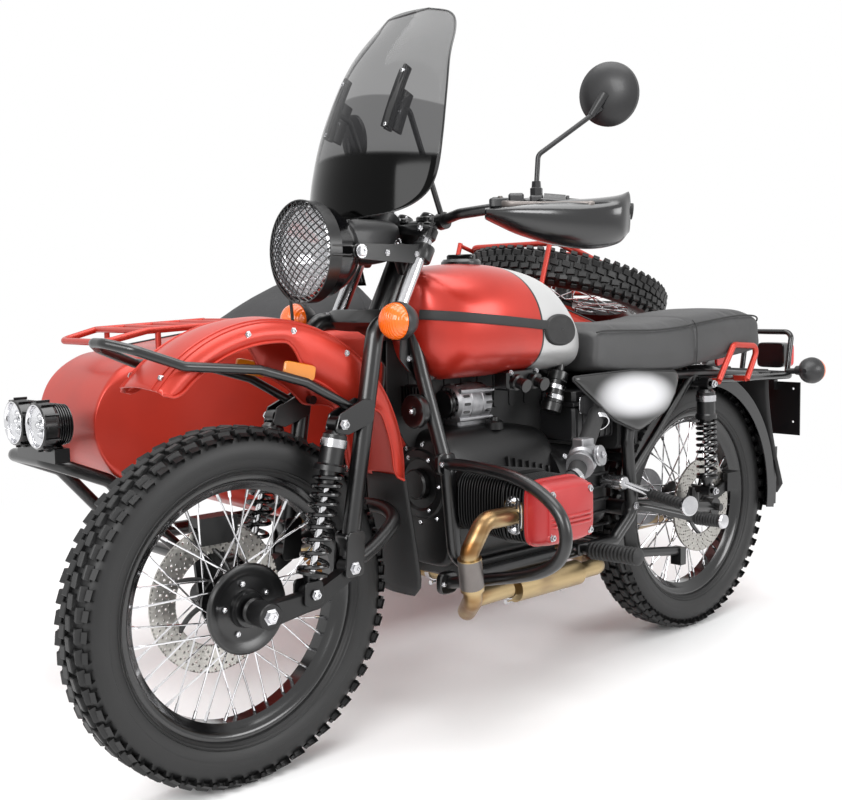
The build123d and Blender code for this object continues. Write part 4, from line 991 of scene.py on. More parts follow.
# ---- wheels -------------------------------------------------------------------------------------
@dataclass
class Wheel:
    """Spoked wheel with its knobbly tyre; a tilted one lies flat as the spare does."""

    name: str
    body: str
    centre: Triple
    nodes: tuple
    disc: tuple = ()  # radius, place along the axle, carrier radius
    cover: float = 0.0  # side that a hub cover is on, or 0
    lay: float | None = None  # slope in degrees that a flat wheel lies on
    tyre_r: float = 346.0
    tyre_half: float = 56.0
    spokes: int = 40
    pitch_count: int = 58
    knob_rows: tuple = ((-34, 9.2, 13.4, 0.0, 18), (-11.6, 9.2, 13.6, 0.5, 4), (11.6, 9.2, 13.6, 0.0, -4),
                        (34, 9.2, 13.4, 0.5, -18), (-48.5, 11, 9.6, 0.0, 54, 324),
                        (48.5, 11, 9.6, 0.5, -54, 324))

    def placed(self, points: np.ndarray) -> np.ndarray:
        """Points of a wheel about the X axis, moved to where this wheel is.

        Args:
            points: array whose last axis is the coordinates.

        Returns:
            Array of the same shape.
        """
        if self.lay is not None:
            points = turned(turned(points, Axis.Y, 90), Axis.X, -self.lay)
        return points + np.array(self.centre)

    def carcass_r(self, x: np.ndarray) -> np.ndarray:
        """Height of the tread's base: R - 9.5 - 14·(x/half)³."""
        return self.tyre_r - 9.5 - 14 * np.abs(x / self.tyre_half) ** 3

    def tyre(self) -> None:
        """Carcass turned from a smooth half outline, with rows of square knobs and ribs below them."""
        half = smooth([(0, 336.5), (22, 335.5), (40, 331), (51, 318), (55.5, 298), (52, 276),
                       (41, 258), (33, 254), (31, 244)], 6)
        profile = np.vstack([half[::-1] * (-1, 1), half[1:]])
        inner = np.array([(25, 246), (36, 268), (44, 296), (36, 316), (0, 322)])
        loop = np.vstack([profile, inner, inner[-2::-1] * (-1, 1), profile[:1]])
        form = Form().grid(self.placed(spun(loop.tolist(), (0, 0, 0), Axis.X, 120)))
        for x, r in ((54.2, 288), (49, 268), (44.6, 262.5), (40.6, 258.5)):
            for s in (-1, 1):
                form.grid(self.placed(spun([(s * (x - 1.5), r - 2.2), (s * (x + 0.9), r),
                                            (s * (x - 1.0), r + 2.2)], (0, 0, 0), Axis.X, 120)))
        corners = np.array([(-1, -1), (1, -1), (1, 1), (-1, 1)], float)
        for x, across, length, phase, tilt, *side_r in self.knob_rows:
            levels = [(1.04, -4.0), (0.97, 7.2), (0.84, 9.0)]
            base = np.vstack([np.column_stack([corners[:, 0] * across * k,
                                               corners[:, 1] * length * k, np.full(4, h)])
                              for k, h in levels])
            base[:, 0] += 0.14 * base[:, 1] * np.sign(tilt)
            faces = [[4 * i + j, 4 * i + (j + 1) % 4, 4 * i + 4 + (j + 1) % 4, 4 * i + 4 + j]
                     for i in range(2)
                     for j in range(4)] + [[8, 9, 10, 11]]
            t = (np.arange(self.pitch_count) + phase) / self.pitch_count * 2 * np.pi
            lean = math.radians(-tilt)
            out = xyz(-math.sin(lean), math.cos(lean) * np.cos(t), math.cos(lean) * np.sin(t))
            run = xyz(0, -np.sin(t), np.cos(t))
            side = np.cross(run, out)
            r = side_r[0] if side_r else float(self.carcass_r(np.array(x)))
            at = xyz(x, r * np.cos(t), r * np.sin(t))
            frames = np.stack([side, run, out], -1)
            if self.lay is not None:
                frames = turned(turned(np.swapaxes(frames, 1, 2), Axis.Y, 90), Axis.X,
                                -self.lay).swapaxes(1, 2)
            form.copies(base, faces, frames, self.placed(at))
        form.piece(f"{self.name}_tyre", self.body, Look.tyre, (self.nodes[0],), crease=28)

    def rim(self) -> None:
        """Gloss black rim with a drop centre and rolled lips."""
        outer = [(-34, 256), (-30.5, 257), (-30, 246), (-21, 241), (-12, 229), (12, 229), (21, 241),
                 (30, 246), (30.5, 257), (34, 256), (34.5, 252), (32, 243), (24, 237), (15, 225),
                 (-15, 225), (-24, 237), (-32, 243), (-34.5, 252), (-34, 256)]
        Form().grid(self.placed(spun(outer, (0, 0, 0), Axis.X, 120))).piece(
            f"{self.name}_rim", self.body, Look.gloss, crease=50)

    def spoke_set(self) -> None:
        """Crossed spokes from the flanges to the rim, each with its nipple."""
        i = np.arange(self.spokes)
        side, lean = np.where(i % 2, 1, -1), np.where(i % 4 < 2, 1, -1)
        at = np.radians(360 / self.spokes * i)
        root = at + lean * math.radians(52)
        foot = xyz(side * 34.0, 48 * np.cos(root), 48 * np.sin(root))
        tip = xyz(side * 6.0, 228 * np.cos(at), 228 * np.sin(at))
        form = Form()
        for start, end, radius, sides in ((foot, tip, 1.9, 8), (tip - unit(tip - foot) * 20, tip, 3.4, 8)):
            run = end - start
            length = np.linalg.norm(run, axis=1)
            z = unit(run)
            x = unit(np.cross(z, np.array([1.0, 0, 0.1])))
            frames = np.stack([x * radius, np.cross(z, x) * radius, z * length[:, None]], -1)
            disc = ring(1.0, sides)
            base = np.vstack([np.column_stack([disc, np.zeros(sides)]),
                              np.column_stack([disc, np.ones(sides)])])
            faces = [[j, (j + 1) % sides, sides + (j + 1) % sides, sides + j] for j in range(sides)]
            faces += [list(range(sides))[::-1], list(range(sides, 2 * sides))]
            if self.lay is not None:
                frames = turned(turned(np.swapaxes(frames, 1, 2), Axis.Y, 90), Axis.X,
                                -self.lay).swapaxes(1, 2)
            form.copies(base, faces, frames, self.placed(start))
        form.piece(f"{self.name}_spokes", self.body, Look.chrome)

    def hub(self) -> None:
        """Hub barrel with its flanges, and the dished cover where the wheel has one."""
        half = [(0, 30), (26, 32), (30, 40), (30, 54), (37, 54), (38, 38), (50, 36), (52, 33), (52, 11)]
        loop = [(-x, r) for x, r in reversed(half)] + half[1:] + [(-52, 11)]
        form = Form().grid(self.placed(spun(loop, (0, 0, 0), Axis.X, 48)))
        if self.cover:
            s = self.cover
            dish = [(s * x, r) for x, r in ((39, 12), (39, 84), (41, 87.5), (47, 87.5), (50, 84),
                                            (50, 80), (44, 68), (42, 60),
                                            (42, 37), (54, 35), (58, 33), (58, 12), (39, 12))]
            form.grid(self.placed(spun(dish, (0, 0, 0), Axis.X, 72)))
        form.piece(f"{self.name}_hub", self.body, Look.black, (self.nodes[1],), crease=28)
        if self.cover:
            t = np.radians(np.arange(5) * 72 + 100)
            screws = Form().bolts(xyz(0 * t + s * 45, 50 * np.cos(t), 50 * np.sin(t)), (s, 0, 0), 4.2, 4.0)
            screws.points = [self.placed(p) for p in screws.points]
            screws.piece(f"{self.name}_cover_screws", self.body, Look.steel)

    def brake(self) -> None:
        """Drilled disc made of cells, each a square ring round its hole, on a carrier of spiral arms."""
        radius, x, inner = self.disc
        rows, count, sides, thick = 4, 54, 12, 5.0
        way = math.copysign(1, x)
        t = np.linspace(0, 2 * np.pi, sides, endpoint=False)
        hole = np.stack([np.cos(t), np.sin(t)], -1) * 0.42
        square = np.stack([np.cos(t), np.sin(t)], -1) / np.maximum(np.abs(np.cos(t)),
                                                                   np.abs(np.sin(t)))[:, None]
        size = (radius - inner) / rows
        form = Form()
        for row in range(rows):
            angle = np.arange(count) / count * 2 * np.pi
            drilled = (np.arange(count) * 2 + row * 3) % 4 < 2
            cell = np.stack([square, hole])
            points = cell[None].repeat(count, 0)
            points[~drilled, 1] = 0
            r = inner + size * (row + 0.5 + points[..., 0] / 2)
            a = angle[:, None, None] + points[..., 1] * np.pi / count
            for front in (0.0, thick):
                face = xyz(x + way * front, r * np.cos(a), r * np.sin(a))
                for k in range(count):
                    form.grid(self.placed(face[k]))
            wall = np.stack([xyz(np.full_like(r[:, 1], x + way * h), r[:, 1] * np.cos(a[:, 1]),
                                 r[:, 1] * np.sin(a[:, 1])) for h in (0.0, thick)], 1)
            for k in np.flatnonzero(drilled):
                form.grid(self.placed(wall[k]))
        for edge in (inner, radius):
            form.grid(self.placed(spun([(x, edge), (x + way * thick, edge)], (0, 0, 0), Axis.X, count * 2)))
        form.piece(f"{self.name}_disc", self.body, Look.disc)
        arms = Form()
        base = math.copysign(36, x)
        for k in range(6):
            t = np.linspace(0, 1, 12)
            r, a = 40 + (inner + 6 - 40) * t, math.radians(60 * k) + 0.55 * t
            path = xyz(base + (x - base) * t + way * 2.5, r * np.cos(a), r * np.sin(a))
            arms.solid(self.placed(swept(path, soft_box(5.0, 3.4, 4, 10))))
        arms.grid(self.placed(spun(hoop(base, base + way * 6, 36, 48), (0, 0, 0), Axis.X, 48)))
        arms.piece(f"{self.name}_disc_carrier", self.body, Look.black)

    def build(self) -> None:
        """Makes every piece of the wheel."""
        self.tyre()
        self.rim()
        self.spoke_set()
        self.hub()
        if self.disc:
            self.brake()


# ---- springs and steering -----------------------------------------------------------------------
@dataclass
class Damper:
    """Coil-over damper between two eyes."""

    name: str
    body: str
    foot: Triple
    top: Triple
    spring_r: float = 31.0
    turns: float = 9.0
    wire: float = 4.6
    nodes: tuple = ()

    def build(self) -> None:
        """Spring as a helix: axis·z + R·(cos, sin) of 2π·turns·z, round a rod and a body."""
        a, b = np.array(self.foot), np.array(self.top)
        line = unit(b - a)
        length = float(np.linalg.norm(b - a))
        first, second = square_to(line)
        t = np.linspace(0, 1, int(self.turns * 22))
        low, high = 40.0, length - 96
        angle = 2 * np.pi * self.turns * t
        climb = low + (high - low) * (t + 0.09 * np.sin(np.pi * t))
        path = a + climb[:, None] * line + (self.spring_r - self.wire) * (
            np.cos(angle)[:, None] * first + np.sin(angle)[:, None] * second)
        Form().solid(swept_coil(path, ring(self.wire, 10), line)).piece(
            f"{self.name}_spring", self.body, Look.gloss, self.nodes)
        Form().lathe([(10, 7), (length * 0.66, 7)], self.foot, line, 24).piece(
            f"{self.name}_rod", self.body, Look.chrome)
        Form().lathe([(length - 46, 25), (length - 46, 26.5), (length - 30, 26.5), (length - 30, 25)],
                     self.foot, line, 36).piece(
            f"{self.name}_band", self.body, Look.steel)
        form = Form()
        form.lathe([(length * 0.62, 12), (length * 0.62, 17), (high + 4, 17), (high + 4, self.spring_r),
                    (high + 14, self.spring_r), (high + 18, 24), (length - 22, 24), (length - 14, 16),
                    (length - 14, 8)], self.foot, line, 36)
        form.lathe([(14, 10), (26, 16), (low - 8, 18), (low - 6, self.spring_r), (low, self.spring_r),
                    (low + 2, 12)], self.foot, line, 36)
        for end in (self.foot, self.top):
            form.lathe(hoop(-14, 14, 8, 15), end, Axis.X, 28)
        form.piece(f"{self.name}_body", self.body, Look.black, crease=28)
        out = 1 if self.foot[0] > 0 else -1
        Form().bolts([(p[0] + out * 25, p[1], p[2]) for p in (self.foot, self.top)],
                     (out, 0, 0), 8, 8).piece(
            f"{self.name}_bolts", self.body, Look.steel)


def swept_coil(path: np.ndarray, outline: np.ndarray, line: np.ndarray) -> np.ndarray:
    """Outline carried along a coil, its first side held square to the coil's axis line.

    Args:
        path: middle line of the coil.
        outline: (a, b) pairs round the section.
        line: direction of the axis that the coil winds round.

    Returns:
        Grid of points, one row for each place on the path.
    """
    run = unit(np.gradient(path, axis=0))
    side = unit(np.cross(run, line))
    up = np.cross(side, run)
    return path[:, None] + outline[None, :, :1] * side[:, None] + outline[None, :, 1:] * up[:, None]


def blend_rows(rows: list, steps: int) -> np.ndarray:
    """Grid through a few outlines: one Catmull-Rom curve through each of their points."""
    flat = smooth([np.asarray(row).ravel() for row in rows], steps)
    return flat.reshape(len(flat), -1, 3)


@dataclass
class Fender:
    """Sheet fender: a rounded outline carried round the wheel, deeper where its side panels are."""

    name: str
    body: str
    node: str
    centre: Triple
    radius: float
    half: float
    start: float
    end: float
    finish: Finish
    skirt: float = 44.0
    panel: tuple = ()  # from, to and depth of a deeper stretch
    wall: float = 2.5

    def build(self) -> None:
        """Outline r = R - drop, its drop following the width; the side is let down by a smooth step."""
        across = np.array([(-1.0, 1.0), (-1.0, 0.5), (-0.985, 0.30), (-0.93, 0.16),
                           (-0.84, 0.085), (-0.70, 0.05),
                           (-0.66, 0.035), (-0.45, 0.0), (-0.24, -0.03), (0, -0.045)])
        across = np.vstack([across, across[-2::-1] * (-1, 1)])
        t = np.linspace(self.start, self.end, 90)
        depth = np.full_like(t, self.skirt)
        if self.panel:
            low, high, deep = self.panel
            step = np.clip(np.minimum(t - low, high - t) / 16 + 0.5, 0, 1)
            depth = self.skirt + (deep - self.skirt) * step * step * (3 - 2 * step)
        tip = np.clip(np.minimum(t - self.start, self.end - t) / 7, 0, 1)
        depth = depth * (0.35 + 0.65 * np.sqrt(1 - (1 - tip) ** 2))
        x = across[None, :, 0] * self.half + 0 * t[:, None]
        drop = np.where(across[None, :, 1] > 0.29, (across[None, :, 1] - 0.3) / 0.7 *
                        (depth[:, None] - 22) + 22, across[None, :, 1] * 72)
        r, a = self.radius - drop, np.radians(t)[:, None]
        grid = xyz(x, r * np.cos(a), r * np.sin(a)) + np.array(self.centre)
        Form().grid(grid, closed=False).piece(self.name, self.body, self.finish, (self.node,),
                                              wall=self.wall, crease=50)
        beads = Form()
        for column, r in ((0, 3.0), (4, 2.0), (6, 2.0), (-7, 2.0), (-5, 2.0), (-1, 3.0)):
            beads.rod(grid[:, column], r, 8)
        beads.piece(f"{self.name}_beads", self.body, self.finish)
        nuts = Form()
        for share, column in ((0.30, 2), (0.42, 2), (0.60, 2), (0.74, 2), (0.97, 5)):
            for s, c in ((-1, column), (1, grid.shape[1] - 1 - column)):
                nuts.bolts([grid[int(share * 89), c]], (s, 0, 0), 5, 5)
        nuts.piece(f"{self.name}_nuts", self.body, Look.steel)


@dataclass
class Headlamp:
    """Headlamp with its reflector, fluted glass, rim and the crossed wires of its guard."""

    centre: Triple = (0.0, -549.0, 1023.0)
    radius: float = 97.0
    wire: float = 1.25
    mesh: int = 17

    def build(self) -> None:
        """Bowl, rim and glass are turned; the guard's wires lie on a shallow dome, crossed at 90°."""
        c, r, y = self.centre, self.radius, Axis.Y
        shell = [(0, r - 8), (0, r), (14, r), (17, r - 2), (50, r - 6), (84, r - 24),
                 (106, 52), (118, 22), (121, 0)]
        inner = [(115, 0), (100, 48), (80, r - 32), (14, r - 9), (0, r - 8)]
        Form().grid(spun(shell + inner, c, y, 72)).piece(
            "headlamp_bowl", "steering", Look.gloss, crease=28)
        bowl = [(8 + 64 * (1 - (k / 14) ** 2), (r - 11) * k / 14) for k in range(1, 15)]
        Form().grid(spun(bowl, c, y, 96)).piece("headlamp_reflector", "steering", Look.chrome, wall=1.0)
        Form().lathe([(30, 0), (30, 17), (34, 18), (60, 15)], c, y, 24).piece("headlamp_bulb_cap",
                                                                              "steering", Look.chrome)
        dome = [(12.0, r - 9), (4.0, r - 9)] + [(4 - 18 * (1 - (k / 8) ** 2), (r - 9) * k / 8)
                                                for k in range(7, 0, -1)]
        Form().lathe(dome + [(-14, 0.5)], c, y, 72).piece("headlamp_lens", "steering",
                                                          Look.fluted, ("headlamp_glass",))
        trim = [(-5, r - 10), (-7, r - 6), (-4, r - 2), (8, r), (10, r - 2), (2, r - 10), (-5, r - 10)]
        Form().grid(spun(trim, c, y, 96)).piece("headlamp_rim", "steering", Look.steel)
        guard = Form()
        reach = r + 3
        for k in range(self.mesh):
            offset = reach * (2 * (k + 0.5) / self.mesh - 1)
            half = math.sqrt(reach ** 2 - offset ** 2)
            s = np.linspace(-1, 1, 22)
            along = s * half
            dome_y = -6 - 26 * (1 - (along ** 2 + offset ** 2) / reach ** 2)
            for turn, lift in ((40, 0.0), (-40, -1.8)):
                a = math.radians(turn)
                x = along * math.cos(a) - offset * math.sin(a)
                z = along * math.sin(a) + offset * math.cos(a)
                path = xyz(x, dome_y + lift, z) + np.array(c)
                guard.rod(path, self.wire, 6)
        for low, high, out in ((-9, -4, 2.5), (-4, 20, 1.6)):
            guard.lathe(hoop(low, high, reach, reach + out), c, y, 72)
        for s in (1, -1):
            x = s * (reach + 1)
            for level in (-9, 9):
                guard.tube([(x, c[1] - 4, c[2] + level), (x * 0.995, c[1] + 40, c[2] + level),
                            (x * 1.03, c[1] + 85, c[2])], 2.2, 10, 8)
        guard.piece("headlamp_guard", "steering", Look.black, ("headlamp",))
        ears = Form()
        for s in (1, -1):
            ears.bolts([(s * 112, -490, 1021)], (s, 0, 0), 10, 7, 24)
        ears.piece("headlamp_bolts", "steering", Look.steel)


@dataclass
class Windscreen:
    """Tall smoked screen with its slotted adjusters."""

    axis_y: float = -37.0
    profile: tuple = ((425, 1090), (412, 1190), (381, 1300), (318, 1430), (225, 1535))
    wrap: float = 1.24
    outline: tuple = ((40, 1088), (132, 1098), (181, 1124), (200, 1170), (198, 1250),
                      (185, 1330), (168, 1400), (147, 1466), (114, 1510), (64, 1526))

    def at(self, x: np.ndarray, z: np.ndarray) -> np.ndarray:
        """Points of the outer face: y = axis - √(R(z)² - (wrap·x)²), with R smooth through the profile.

        Args:
            x: places across.
            z: heights.

        Returns:
            Array of points, shaped as x and z are.
        """
        rows = smooth(self.profile, 10)
        r = np.interp(z, rows[:, 1], rows[:, 0])
        return xyz(x, self.axis_y - np.sqrt(r ** 2 - (self.wrap * x) ** 2), z)

    def build(self) -> None:
        """Grid of heights by shares of the half width, which follows the outline."""
        edge = smooth(self.outline, 7)
        share = np.linspace(-1, 1, 33)
        x = edge[:, :1] * share
        z = np.repeat(edge[:, 1:], len(share), 1)
        Form().grid(self.at(x, z), closed=False).piece("windscreen_glass", "steering", Look.screen,
                                                       ("windscreen",), wall=4.0, offset=0.0)
        border = self.at(np.concatenate([edge[:, 0], -edge[::-1, 0]]),
                         np.concatenate([edge[:, 1], edge[::-1, 1]]))
        Form().rod(border, 2.1, 8).piece("windscreen_edge", "steering", Look.shiny)
        bars, knobs = Form(), Form()
        for s in (-1, 1):
            z = np.linspace(1262, 1392, 14)
            strip = self.at(np.full_like(z, s * 96.0), z) + np.array([0, 9, 0])
            bars.solid(swept(strip, soft_box(10, 4.5, 4, 16)))
            back = strip + np.array([s * 2, 13, -22])
            bars.solid(swept(back[2:11], soft_box(15, 4, 3, 16)))
            for place in (strip[1], strip[-2], back[6]):
                knobs.bolts([place + np.array([0, -8, 0])], (0, -1, 0.3), 4.5, 4, 12)
        bars.piece("screen_adjusters", "steering", Look.black)
        knobs.piece("screen_adjuster_screws", "steering", Look.steel)


@dataclass
class Controls:
    """Mirrors, hand guards, switches and the front signals."""

    mirror: Triple = (400.0, -91.0, 1321.0)
    bar: tuple = ((292.0, -205.0, 1112.0), (432.0, -62.0, 1092.0))

    def mirrors(self) -> None:
        """Stem through a bend to a domed shell, whose depth grows as 18·(r/R)^2.4."""
        a, b = (np.array(p) for p in self.bar)
        root = a + (b - a) * 0.08
        face = unit(np.array([-0.25, 0.95, 0.08]))
        form, glass = Form(), Form()
        for s in (1, -1):
            flip = np.array([s, 1, 1])
            c = np.array(self.mirror)
            stem = rounded([root + (0, -2, 20), root + (0, -2, 34), root + (0, 4, 96),
                            c - face * 16 - (8, 0, 26)], 16)
            form.rod(stem * flip, 5, 12)
            boot = np.linspace(0, 1, 6)[:, None]
            taper = (stem[-1] + (c - face * 14 - stem[-1]) * boot -
                     unit(stem[-1] - stem[-2]) * (1 - boot) * 24)
            form.solid(swept(taper * flip, ring(1, 14), 7 + 4 * boot[:, 0]))
            shell = [(-18 + 18 * (k / 10) ** 2.4, 6 + 56 * k / 10)
                     for k in range(11)] + [(8, 62.5), (10, 60)]
            form.grid(spun([(-18, 0.5)] + shell, c * flip, face * flip, 48))
            glass.lathe([(6, 0.5), (7, 59.5), (9.5, 59.5), (9.5, 0.5)], c * flip, face * flip, 48)
            form.lathe([(0, 10), (0, 13), (16, 13), (18, 10), (30, 9)],
                       (root + (0, -2, 14)) * flip, Axis.Z, 6)
        form.piece("mirror_shells", "steering", Look.plastic, ("mirrors",))
        glass.piece("mirror_glass", "steering", Look.chrome)

    def guards(self) -> None:
        """Hand guard shells: a hooked section, deep in front of the lever and drawn in at both ends."""
        a, b = (np.array(p) for p in self.bar)
        run = unit((b - a) * (1, 1, 0))
        out = np.array([run[1], -run[0], 0])
        stations = [(-88, 30, 9, 12, -16), (-64, 44, 17, 22, -18), (-20, 62, 29, 40, -20),
                    (50, 76, 42, 57, -24),
                    (118, 77, 48, 63, -26), (172, 60, 50, 58, -22), (196, 24, 47, 46, -12)]
        curve = np.radians(np.linspace(-100, 86, 15))
        for s, name in ((1, "left"), (-1, "right")):
            rows = []
            for along, deep, high, low, shift in stations:
                forward = deep * np.cos(curve * 0.9)
                up = np.where(curve > 0, high * 0.62, low * 1.05) * np.sin(curve) + shift
                rows.append(a + run * along + out * forward[:, None] + np.array([0, 0, 1]) * up[:, None])
            grid = blend_rows(rows, 6) * np.array([s, 1, 1])
            Form().grid(grid, closed=False).piece(f"hand_guard_{name}", "steering", Look.shiny,
                                                  wall=3.0, crease=60, offset=0.0,
                                    replaces=("hand_guards",) if s > 0 else ())

    def signals(self) -> None:
        """Bullet signals: black bowl behind, amber dome in front."""
        for name, node, y, x, z, way, body in (("front", "front_indicators", -446, 165, 884, -1, "steering"),
                                               ("rear", "rear_indicators", 1145, 165, 697, 1, "base")):
            bowl, lens = Form(), Form()
            for s in (-1, 1):
                c = (s * x, y, z)
                bowl.lathe([(way * 4, 30), (way * 4, 38), (0, 38.5), (-way * 12, 37), (-way * 30, 27),
                            (-way * 40, 14), (-way * 44, 7)], c, Axis.Y, 48)
                bowl.tube([(s * x, y - way * 20, z), (s * 96, y - way * 20, z if way < 0 else z - 4)],
                          8.5, 10)
                bowl.lathe([(-30, 8.5), (-26, 13), (-4, 15), (0, 9)], (s * (x - 12), y - way * 20, z),
                           (s, 0, 0), 20)
                dome = [(way * 2, 36.5)] + [(way * (5 + 31 * math.sin(t)),
                                             36.5 * math.cos(t) ** 0.75) for t in
                                           np.linspace(0, 1.5, 9)]
                lens.lathe(dome, c, Axis.Y, 48)
            bowl.piece(f"{name}_signal_bowls", body, Look.plastic, (node,), crease=28)
            lens.piece(f"{name}_signal_lenses", body, Look.amber, crease=60)

    def levers(self) -> None:
        """Perches, lever blades, switch housings and, on the right, the brake's reservoir."""
        a, b = (np.array(p) for p in self.bar)
        run = unit((b - a) * (1, 1, 0))
        out = np.array([run[1], -run[0], 0])
        form, blade = Form(), Form()
        for s in (1, -1):
            flip = np.array([s, 1, 1])
            spots = [a + run * along + out * off + (0, 0, up) for along, off, up in
                     ((-58, 26, -2), (-40, 42, -5), (20, 48, -8), (88, 58, -10), (116, 64, -10))]
            blade.solid(swept(rounded([p * flip for p in spots], 30), soft_box(4.5, 7, 3, 16)))
            blade.lathe([(-8, 0.5), (-6, 6), (0, 8), (6, 6), (8, 0.5)], spots[-1] * flip, run * flip, 20)
            across = out * flip
            for along, half_a, half_b, thick in ((-64, 17, 15, 22), (-26, 20, 22, 30), (14, 19, 18, 26)):
                form.slab(soft_box(half_a, half_b, 4, 32), (a + run * along + (0, 0, -2)) * flip,
                          (across, (0, 0, 1)), thick, 3)
            form.slab(soft_box(20, 12, 3.4, 28), (a + run * -60 + out * 22) * flip,
                      (run * flip, across), 18, 2.5)
            blade.bolts([(a + run * -58 + out * 26 + (0, 0, 9)) * flip], Axis.Z, 5, 4)
        eased(form, (-292, -262, 1122), (-236, -212, 1152), 3, 5)
        eased(form, (-295, -265, 1152), (-233, -209, 1159), 1.5, 5)
        blade.bolts([(-284, -237, 1159), (-244, -237, 1159)], Axis.Z, 4, 2.5, 16)
        form.piece("switches_and_perches", "steering", Look.plastic, crease=30)
        blade.piece("lever_blades", "steering", Look.sleeve, crease=40)

    def gauge(self) -> None:
        """Cowl between lamp and upper bridge, and the round dial that faces the rider."""
        cowl = ((-486, 34, 1024, 1076), (-478, 58, 1006, 1086), (-420, 66, 996, 1090),
                (-356, 60, 1004, 1090), (-330, 42, 1024, 1080), (-327, 20, 1040, 1066))
        form = Form().solid(sections(cowl, 3.6, 40))
        c, way = (0, -352, 1092), (0, 0.5, 0.86)
        form.lathe([(-24, 20), (-18, 40), (2, 44), (14, 44), (14, 39), (4, 39), (4, 0.5)], c, way, 48)
        form.piece("dial_cowl", "steering", Look.plastic, crease=30)
        ring_form = Form().grid(spun([(13, 39), (16, 40), (16, 44), (12, 45), (13, 39)], c, way, 48))
        marks = np.radians(np.linspace(-130, 130, 14))
        first, second = square_to(unit(np.array(way, float)))
        for angle in marks:
            spoke = math.cos(angle) * first + math.sin(angle) * second
            place = np.array(c) + unit(np.array(way, float)) * 5 + spoke * 32
            ring_form.slab(soft_box(1.2, 4, 4, 12), place, (np.cross(way, spoke), spoke), 0.8, 0.2)
        ring_form.piece("dial_ring_and_marks", "steering", Look.chrome)
        Form().lathe([(11, 0.5), (11, 39), (13, 39), (13.5, 0.5)], c, way,
                     48).piece("dial_glass", "steering", Look.clear)

    def build(self) -> None:
        """Makes mirrors, guards, levers, dial and signals."""
        self.mirrors()
        self.levers()
        self.gauge()
        self.guards()
        self.signals()


def eased_outline(corners: list, bend: float) -> np.ndarray:
    """Polygon whose corners are arcs.

    Args:
        corners: (a, b) pairs round the polygon.
        bend: radius of the arcs.

    Returns:
        (a, b) pairs round the eased polygon.
    """
    p = [np.array((a, b, 0.0)) for a, b in corners]
    start = (p[-1] + p[0]) / 2
    return rounded([start, *p, start], bend, 6)[:-1, :2]


def plate_x(form: Form, corners: list, x: float, thick: float, bend: float = 6.0,
            bevel: float = 1.2) -> Form:
    """Adds a plate square to X whose outline is given as (y, z) corners."""
    return form.slab(eased_outline(corners, bend), (x, 0, 0), Face.SIDE, thick, bevel)


